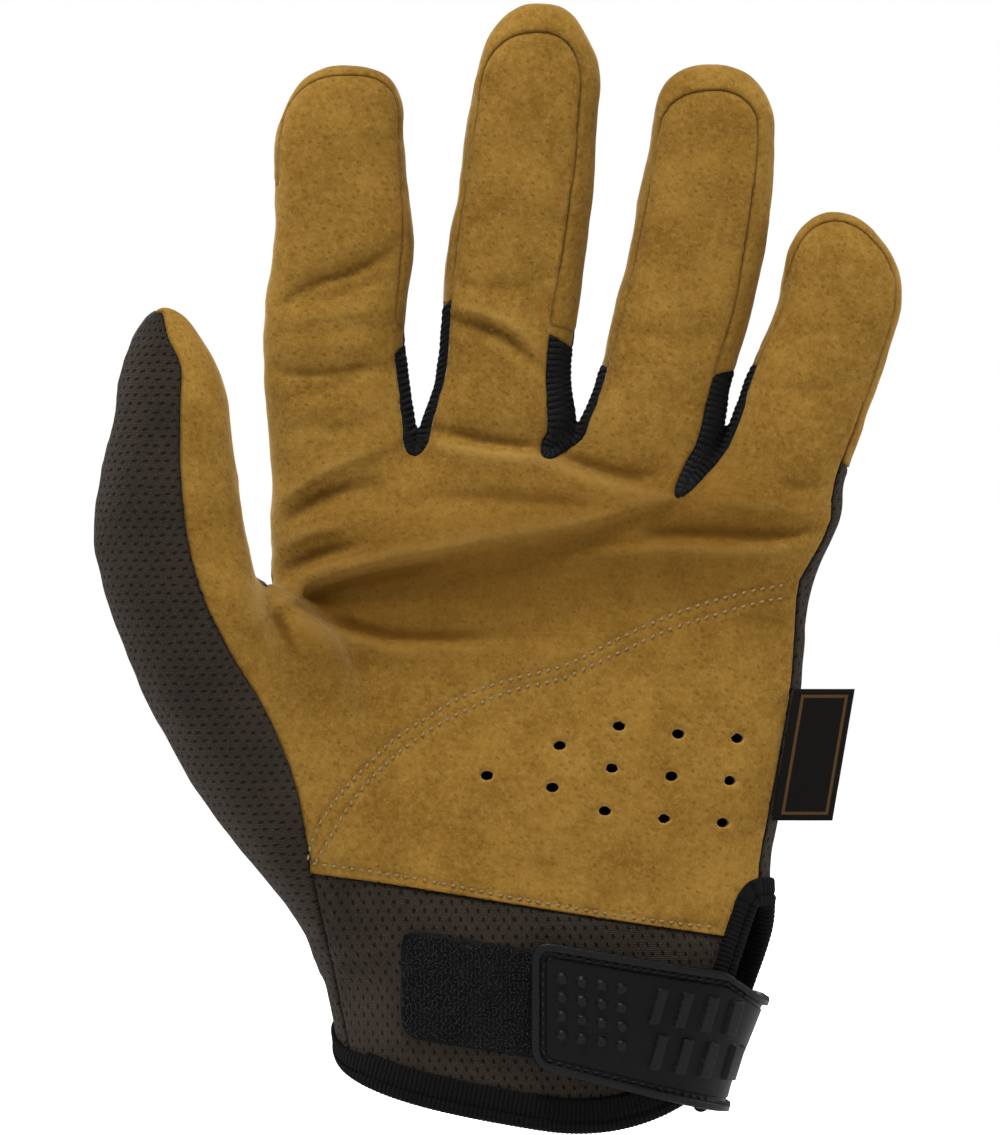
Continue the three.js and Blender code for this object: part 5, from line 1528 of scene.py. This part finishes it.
# Loop patch and the tab that closes over it
patch = {"left": -25.5, "right": 22, "top": 36, "height": 24, "topSlope": -0.153, "footSlope": -0.153,
         "thickness": 1.3, "corner": 4, "clear": 0.3}
tab = {"left": 3.5, "right": 23, "top": 34, "height": 28.5, "topSlope": -0.174, "footSlope": -0.258,
       "thickness": 2.4, "corner": 4.5, "clear": 1.9, "raise": 1.1, "rim": 2.0, "groove": 1.15,
       "backRise": 10.0, "sideX": 55.5, "drop": 0.55}
studs = {"count": 4, "radius": 1.25, "pitch": 4.4, "first": (10.3, 25.2)}
bars = {"count": 4, "width": 2.6, "pitch": 5.6, "height": 8.0, "lean": 0.3, "rows": 2, "rowDrop": 10.24}


def bandDistance(b, x, z, drop=0.0):
    fall = np.maximum(x - 47.0, 0) * drop
    top = b["top"] + b["topSlope"] * (x - b["left"]) - fall
    foot = b["top"] - b["height"] + b["footSlope"] * (x - b["left"])
    qx = b["left"] + b["corner"] - x
    qz = np.abs(z - (top + foot) / 2) - ((top - foot) / 2 - b["corner"])
    return np.hypot(np.maximum(qx, 0), np.maximum(qz, 0)) + np.minimum(np.maximum(qx, qz), 0) - b["corner"]


def tabOutline(x, y, z):
    front = bandDistance(tab, x, z, tab["drop"])
    side = {"x": min(tab["sideX"], 60)}
    topSide = tab["top"] + tab["topSlope"] * (side["x"] - tab["left"]) - tab["drop"] * (side["x"] - 47)
    footSide = tab["top"] - tab["height"] + tab["footSlope"] * (side["x"] - tab["left"])
    rise = np.clip((side["x"] - x) / (side["x"] - tab["right"]), 0, 1) * tab["backRise"]
    back = np.maximum(np.maximum(z - topSide - rise, footSide + rise - z), tab["right"] - x)
    return mix(front, back, smoothStep(y, -4, 4))


def ringSkin(grow, low, high, cell):
    points, quads = surfaceOf(lambda x, y, z: palmDistance(x, y, z, grow), low, high, cell)
    tri = triangles(points, quads)
    keep = (points[tri][:, :, 2] > low[2] + 2).all(1) & (points[tri][:, :, 2] < high[2] - 2).all(1)
    tri = tri[keep]
    return tidied({"at": np.hstack([points, vertexNormals(points, tri)]), "tri": tri})


print("patch and tab")
skin = ringSkin(patch["clear"] + patch["thickness"], (-60, -28, -20), (66, 4, 50), detail["tabCell"] * 1.3)
skin, _ = split(skin, lambda x, y, z: np.maximum(np.maximum(bandDistance(patch, x, z), x - patch["right"]), y + 6))
patchShell = panel(mainBody(skin), patch["thickness"], 0.5, 0.8)
patchPlace = cutPlace(patchShell["base"], -1)
patchObject = makeMesh("patch_backing", patchShell, patchPlace, finishes["loopPile"])
placed(patchObject, "loop_patch")

skin = ringSkin(tab["clear"] + tab["thickness"], (-2, -30, -24), (70, 30, 52), detail["tabCell"])
skin, _ = split(skin, tabOutline)
skin = mainBody(skin, 200)


def studDistance(x, z):
    best = np.full(x.shape, 99.0)
    for row in range(studs["count"]):
        for column in range(studs["count"]):
            sx = studs["first"][0] + column * studs["pitch"]
            sz = studs["first"][1] - row * studs["pitch"] * 0.95 + tab["topSlope"] * column * studs["pitch"]
            best = np.minimum(best, np.hypot(x - sx, z - sz) - studs["radius"])
    return best


def barDistance(x, z):
    best = np.full(x.shape, 99.0)
    start = studs["first"][0] + studs["count"] * studs["pitch"] + bars["width"] / 2
    for row in range(bars["rows"]):
        for k in range(bars["count"]):
            bx = start + k * bars["pitch"]
            bz = studs["first"][1] + studs["radius"] + tab["topSlope"] * (bx - studs["first"][0]) - row * bars["rowDrop"]
            lean = bars["height"] * bars["lean"]
            slope = tab["topSlope"] * bars["width"]
            shape = [(bx + lean, bz), (bx, bz - bars["height"]), (bx + bars["width"], bz - bars["height"] + slope),
                     (bx + bars["width"] + lean, bz + slope)]
            best = np.minimum(best, closedDistance(shape, x, z))
    return best


def frontOnly(values, y, x):
    return np.where(y < 0, values, 99.0)


rimD = lambda p: tabOutline(*p.T)
for level in (-0.3, -tab["rim"] + 0.25, -tab["rim"] - 0.05, -tab["rim"] - tab["groove"], -tab["rim"] - tab["groove"] - 0.3):
    skin, _, _ = cutSkin(skin, rimD(skin["at"][:, :3]) - level, snap=0.2)
for level in (-0.3, 0.05):
    skin, _, _ = cutSkin(skin, frontOnly(studDistance(skin["at"][:, 0], skin["at"][:, 2]), skin["at"][:, 1], 0) - level,
                         snap=0.15)
for level in (-0.3, 0.05):
    skin, _, _ = cutSkin(skin, frontOnly(barDistance(skin["at"][:, 0], skin["at"][:, 2]), skin["at"][:, 1], 0) - level,
                         snap=0.15)
p, n = skin["at"][:, :3], skin["at"][:, 3:6]
n = n / np.linalg.norm(n, axis=1, keepdims=True)
rimDistance = rimD(p)
rimRise = smoothStep(-rimDistance, 0.0, 0.35) * (1 - smoothStep(-rimDistance, tab["rim"] - 0.25, tab["rim"] + 0.05))
grooveDip = smoothStep(-rimDistance, tab["rim"], tab["rim"] + 0.15) * (
    1 - smoothStep(-rimDistance, tab["rim"] + tab["groove"], tab["rim"] + tab["groove"] + 0.3))
inRim = smoothStep(-rimDistance, tab["rim"] + tab["groove"], tab["rim"] + tab["groove"] + 0.3)
studRise = smoothStep(-frontOnly(studDistance(p[:, 0], p[:, 2]), p[:, 1], 0), -0.05, 0.3)
barRise = smoothStep(-frontOnly(barDistance(p[:, 0], p[:, 2]), p[:, 1], 0), -0.05, 0.3)
lift = tab["raise"] * np.maximum(rimRise * 0.9, np.maximum(studRise * 0.8, barRise) * inRim) - 0.3 * grooveDip
lift += -0.45 * (1 - smoothStep(-rimDistance, 0, 0.35))
tabShell = {"outer": p + n * lift[:, None], "inner": p - n * tab["thickness"], "tri": skin["tri"]}
# this mask also carries the painted highlight on the raised rim, studs and bars
raisedMask = np.maximum(rimRise, np.maximum(studRise, barRise))
tabObject = makeMesh("tab_moulding", tabShell, p[:, [0, 2]], finishes["tabRubber"], None, {"raised": raisedMask})
placed(tabObject, "closure_tab")
print("tab:", len(tabObject.data.polygons), "triangles")


# Side label: a folded woven strip whose ends are caught in the side seam
def labelMesh():
    n, k = 34, 60
    half = labelSize["thickness"] / 2
    seamX = table(palm["rows"], 2, labelSize["top"] / palm["top"]) * palm["width"] - labelSize["width"] * labelSize["seamShare"]
    across = np.linspace(0, labelSize["width"], n)
    up = np.linspace(0, labelSize["height"], k)
    a, b = np.meshgrid(across, up, indexing="ij")
    x = seamX + a - labelSize["slant"] * (labelSize["height"] - b)
    z = labelSize["top"] - labelSize["height"] + b + 0 * a
    bow = 0.7 * np.sin(math.pi * a / labelSize["width"]) * np.sin(0.5 + 2.2 * b / labelSize["height"]) + 0.05 * a
    y = labelSize["depth"] - bow
    fold = half * np.sqrt(np.clip(1 - np.clip((a - labelSize["width"] + half) / half, 0, 1) ** 2, 0.02, 1))
    thin = 0.1 + 0.9 * np.clip(np.minimum(b, labelSize["height"] - b) / 0.25, 0, 1)
    front = np.stack([x, y - fold * thin, z], -1).reshape(-1, 3)
    back = np.stack([x, y + fold * thin, z], -1).reshape(-1, 3)
    ids = np.arange(n * k).reshape(n, k)
    quads = np.stack([ids[:-1, :-1], ids[1:, :-1], ids[1:, 1:], ids[:-1, 1:]], -1).reshape(-1, 4)
    tri = np.concatenate([quads[:, [0, 1, 2]], quads[:, [0, 2, 3]]])
    uv = np.column_stack([a.ravel(), b.ravel()])
    shell = {"outer": front, "inner": back, "tri": tri}
    return makeMesh("label_strip", shell, uv, finishes["wovenLabel"])


placed(labelMesh(), "side_label")


# Stitches: short bent threads that dip into the cloth at both ends
def stitchMesh(name, runs, finish, radius, share, rise=0.16):
    rng = np.random.default_rng(detail["seed"] + len(name))
    rings, sides = 7, 6
    verts, tris, uvs = [], [], []
    count = 0
    for points, normals in runs:
        path, at = evenPath(points, 0.15)
        n = np.column_stack([np.interp(at, np.linspace(0, at[-1], len(normals)), normals[:, k]) for k in range(3)])
        total = int(at[-1] / stitch["pitch"])
        for s in range(total):
            start = (s + 0.5 * (1 - share) + rng.uniform(-0.04, 0.04)) * stitch["pitch"]
            stops = start + np.linspace(0, share * stitch["pitch"], rings)
            centre = np.column_stack([np.interp(stops, at, path[:, k]) for k in range(3)])
            up = np.column_stack([np.interp(stops, at, n[:, k]) for k in range(3)])
            up /= np.linalg.norm(up, axis=1, keepdims=True)
            along = np.gradient(centre, axis=0)
            along /= np.linalg.norm(along, axis=1, keepdims=True)
            sideways = np.cross(up, along)
            bend = np.sin(np.linspace(0, math.pi, rings))
            lean = rng.uniform(-0.12, 0.12) + 0.10
            centre = centre + up * (rise * bend - 0.34 * (1 - bend) ** 2)[:, None] + sideways * (
                lean * np.linspace(-1, 1, rings))[:, None]
            swell = radius * (0.55 + 0.45 * bend ** 0.5)
            for r in range(rings):
                for k in range(sides):
                    turn = 2 * math.pi * k / sides
                    verts.append(centre[r] + swell[r] * (math.cos(turn) * sideways[r] + math.sin(turn) * up[r]))
                    uvs.append((stops[r], turn))
            verts.append(centre[0]); uvs.append((stops[0], 0))
            verts.append(centre[-1]); uvs.append((stops[-1], 0))
            for r in range(rings - 1):
                for k in range(sides):
                    a, b = count + r * sides + k, count + r * sides + (k + 1) % sides
                    tris += [(a, b, b + sides), (a, b + sides, a + sides)]
            first, last = count + rings * sides, count + rings * sides + 1
            for k in range(sides):
                a, b = count + k, count + (k + 1) % sides
                tris.append((first, b, a))
                top = (rings - 1) * sides
                tris.append((last, a + top, b + top))
            count += rings * sides + 2
    tris = np.array(tris)
    verts = np.array(verts)
    volume = (verts[tris[:, 0]] * np.cross(verts[tris[:, 1]], verts[tris[:, 2]])).sum()
    if volume < 0:
        tris = tris[:, ::-1]
    return meshObject(name, verts * mm, tris, np.array(uvs), [finish])


def frontRun(curve, field=hullDistance, sink=0.0, inset=0.0):
    # a line seen from the front, laid on to a surface
    p = np.column_stack([curve[:, 0], np.full(len(curve), -30.0), curve[:, 1]])
    p, _ = evenPath(p, 0.5)
    for _ in range(30):
        here = field(*p.T)
        slope = (field(p[:, 0], p[:, 1] + 0.05, p[:, 2]) - here) / 0.05
        p[:, 1] -= np.clip(here / np.where(np.abs(slope) < 0.3, -0.3, slope), -3, 3)
    n = slopeOf(field, p)
    n /= np.linalg.norm(n, axis=1, keepdims=True)
    return p - n * sink, n


print("stitches")
seamRuns = [frontRun(stitchCurves[name], sink=stitch["sink"] * 0.75) for name in ("arcUpper", "arcLower", "hem")]
placed(stitchMesh("palm_stitching", seamRuns, finishes["tanThread"], stitch["thread"], stitch["share"]))


def tabSeam():
    inset = tab["rim"] + tab["groove"] / 2
    top = lambda x: tab["top"] + tab["topSlope"] * (x - tab["left"]) - tab["drop"] * max(x - 47.0, 0) - inset
    foot = lambda x: tab["top"] - tab["height"] + tab["footSlope"] * (x - tab["left"]) + inset
    corner = tab["corner"] - 1.0
    left = tab["left"] + inset
    points = [(x, top(x)) for x in np.linspace(52, left + corner, 20)]
    points += [(left + corner * (1 - math.sin(t)), top(left + corner) - corner * (1 - math.cos(t)))
               for t in np.linspace(0.25, math.pi / 2, 6)]
    points += [(left + corner * (1 - math.cos(t)), foot(left + corner) + corner * (1 - math.sin(t)))
               for t in np.linspace(0, math.pi / 2 - 0.25, 6)]
    points += [(x, foot(x)) for x in np.linspace(left + corner, 44, 20)]
    return frontRun(np.array(points), lambda x, y, z: palmDistance(x, y, z, tab["clear"] + tab["thickness"]), 0.25)


placed(stitchMesh("tab_stitching", [tabSeam()], finishes["blackThread"], 0.26, 0.7, 0.12))


# Loops of the patch: small bent strands in rough columns
pile = {"across": 0.95, "up": 0.8, "radius": 0.42, "thread": 0.10}


def loopMesh():
    rng = np.random.default_rng(detail["seed"] + 31)
    xs, zs = np.meshgrid(np.arange(patch["left"] + 0.6, tab["left"] + 3, pile["across"]), np.arange(2, 37, pile["up"]))
    x = xs.ravel() + rng.uniform(-0.22, 0.22, xs.size)
    z = zs.ravel() + rng.uniform(-0.25, 0.25, xs.size)
    keep = bandDistance(patch, x, z) < -0.7
    x, z = x[keep], z[keep]
    field = lambda a, b, c: palmDistance(a, b, c, patch["clear"] + patch["thickness"])
    p = np.column_stack([x, np.full(len(x), -28.0), z])
    for _ in range(20):
        here = field(*p.T)
        p[:, 1] -= np.clip(here / ((field(p[:, 0], p[:, 1] + 0.05, p[:, 2]) - here) / 0.05), -3, 3)
    n = slopeOf(field, p)
    n /= np.linalg.norm(n, axis=1, keepdims=True)
    turn = rng.uniform(-0.9, 0.9, len(p)) + math.pi / 2 * (rng.random(len(p)) < 0.3)
    along = np.column_stack([np.sin(turn), np.zeros(len(p)), np.cos(turn)])
    along -= (along * n).sum(1)[:, None] * n
    along /= np.linalg.norm(along, axis=1, keepdims=True)
    sideways = np.cross(n, along)
    lean = rng.uniform(-0.5, 0.5, len(p))[:, None]
    size = pile["radius"] * rng.uniform(0.75, 1.25, len(p))[:, None]
    rings, sides = 6, 4
    grid = np.zeros((len(p), rings, sides, 3))
    for r, a in enumerate(np.linspace(0.05, math.pi - 0.05, rings)):
        out = n * math.sin(a) + sideways * lean * math.sin(a)
        centre = p + size * (along * -math.cos(a) + out * 1.1) - n * 0.15
        for k in range(sides):
            t = 2 * math.pi * k / sides
            arm = along * -math.cos(a) + out
            grid[:, r, k] = centre + pile["thread"] * (math.cos(t) * arm + math.sin(t) * sideways)
    ids = np.arange(len(p) * rings * sides).reshape(len(p), rings, sides)
    a, b = ids[:, :-1], ids[:, 1:]
    quads = np.stack([a, np.roll(a, -1, axis=2), np.roll(b, -1, axis=2), b], -1).reshape(-1, 4)
    ends = np.concatenate([ids[:, 0, ::-1], ids[:, -1]])
    quads = np.concatenate([quads, ends])
    tri = np.concatenate([quads[:, [0, 1, 2]], quads[:, [0, 2, 3]]])
    points = grid.reshape(-1, 3)
    volume = (points[tri[:, 0]] * np.cross(points[tri[:, 1]], points[tri[:, 2]])).sum()
    if volume < 0:
        tri = tri[:, ::-1]
    return meshObject("patch_loops", points * mm, tri, points[:, [0, 2]], [finishes["loopThread"]])


placed(loopMesh())
total = sum(len(o.data.polygons) for o in bpy.context.scene.objects
            if o.type == "MESH" and not o.hide_render and "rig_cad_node" not in o)
print("dressed:", total, "triangles")

# Stage: a pale floor under white air
stage = {"floor": -55, "half": 4000, "air": 0.25}


def paleFloor():
    h, z = stage["half"] * mm, stage["floor"] * mm
    mesh = bpy.data.meshes.new("floor")
    mesh.from_pydata([(-h, -h, z), (h, -h, z), (h, h, z), (-h, h, z)], [], [(0, 1, 2, 3)])
    obj = bpy.data.objects.new("floor", mesh)
    bpy.context.scene.collection.objects.link(obj)
    # white paper, lit so that no shadow shows to the camera
    finish, tree, shader = newFinish("paper", 0.95, 0.1)
    shader.inputs["Base Color"].default_value = (0.9, 0.9, 0.9, 1)
    shader.inputs["Emission Color"].default_value = (1, 1, 1, 1)
    seen = put(tree, "ShaderNodeLightPath").outputs["Is Camera Ray"]
    tree.links.new(seen, shader.inputs["Emission Strength"])
    mesh.materials.append(finish)
    return obj


paleFloor()

world = bpy.data.worlds.new("studio")
bpy.context.scene.world = world
world.use_nodes = True
air = world.node_tree
air.nodes["Background"].inputs["Color"].default_value = (1, 1, 1, 1)
seen = put(air, "ShaderNodeLightPath").outputs["Is Camera Ray"]
air.links.new(calc(air, "MULTIPLY_ADD", seen, 1 - stage["air"], stage["air"]), air.nodes["Background"].inputs["Strength"])

lights = [
    # name, place, aimed at, size, power
    ("key", (-150, -520, 1350), (0, 0, 120), 420, 18.0),
    ("front", (250, -1500, 500), (0, 0, 110), 900, 1.9),
    ("left", (-1100, 200, 450), (-20, 0, 110), 500, 6.0),
    ("right", (1100, 200, 400), (0, 0, 110), 500, 5.0),
    ("back", (-250, 1500, 700), (0, 0, 110), 900, 6.0),
]
for name, place, aim, size, power in lights:
    lamp = bpy.data.lights.new(name, "AREA")
    lamp.size = size * mm
    lamp.energy = power
    lampObject = bpy.data.objects.new(name, lamp)
    lampObject.location = Vector(place) * mm
    lampObject.rotation_euler = (Vector(aim) - Vector(place)).to_track_quat("-Z", "Y").to_euler()
    bpy.context.scene.collection.objects.link(lampObject)

view = {"distance": 1600, "x": -3.4, "z": 116.4, "height": 255.4, "sensor": 36}
camera = bpy.data.cameras.new("camera")
camera.sensor_width = view["sensor"]
camera.lens = view["distance"] * view["sensor"] / view["height"]
camera.clip_start, camera.clip_end = 0.05, 20
cameraObject = bpy.data.objects.new("camera", camera)
cameraObject.location = (view["x"] * mm, -view["distance"] * mm, view["z"] * mm)
cameraObject.rotation_euler = (math.pi / 2, 0, 0)
bpy.context.scene.collection.objects.link(cameraObject)
bpy.context.scene.camera = cameraObject
bpy.context.scene.view_settings.view_transform = "Standard"
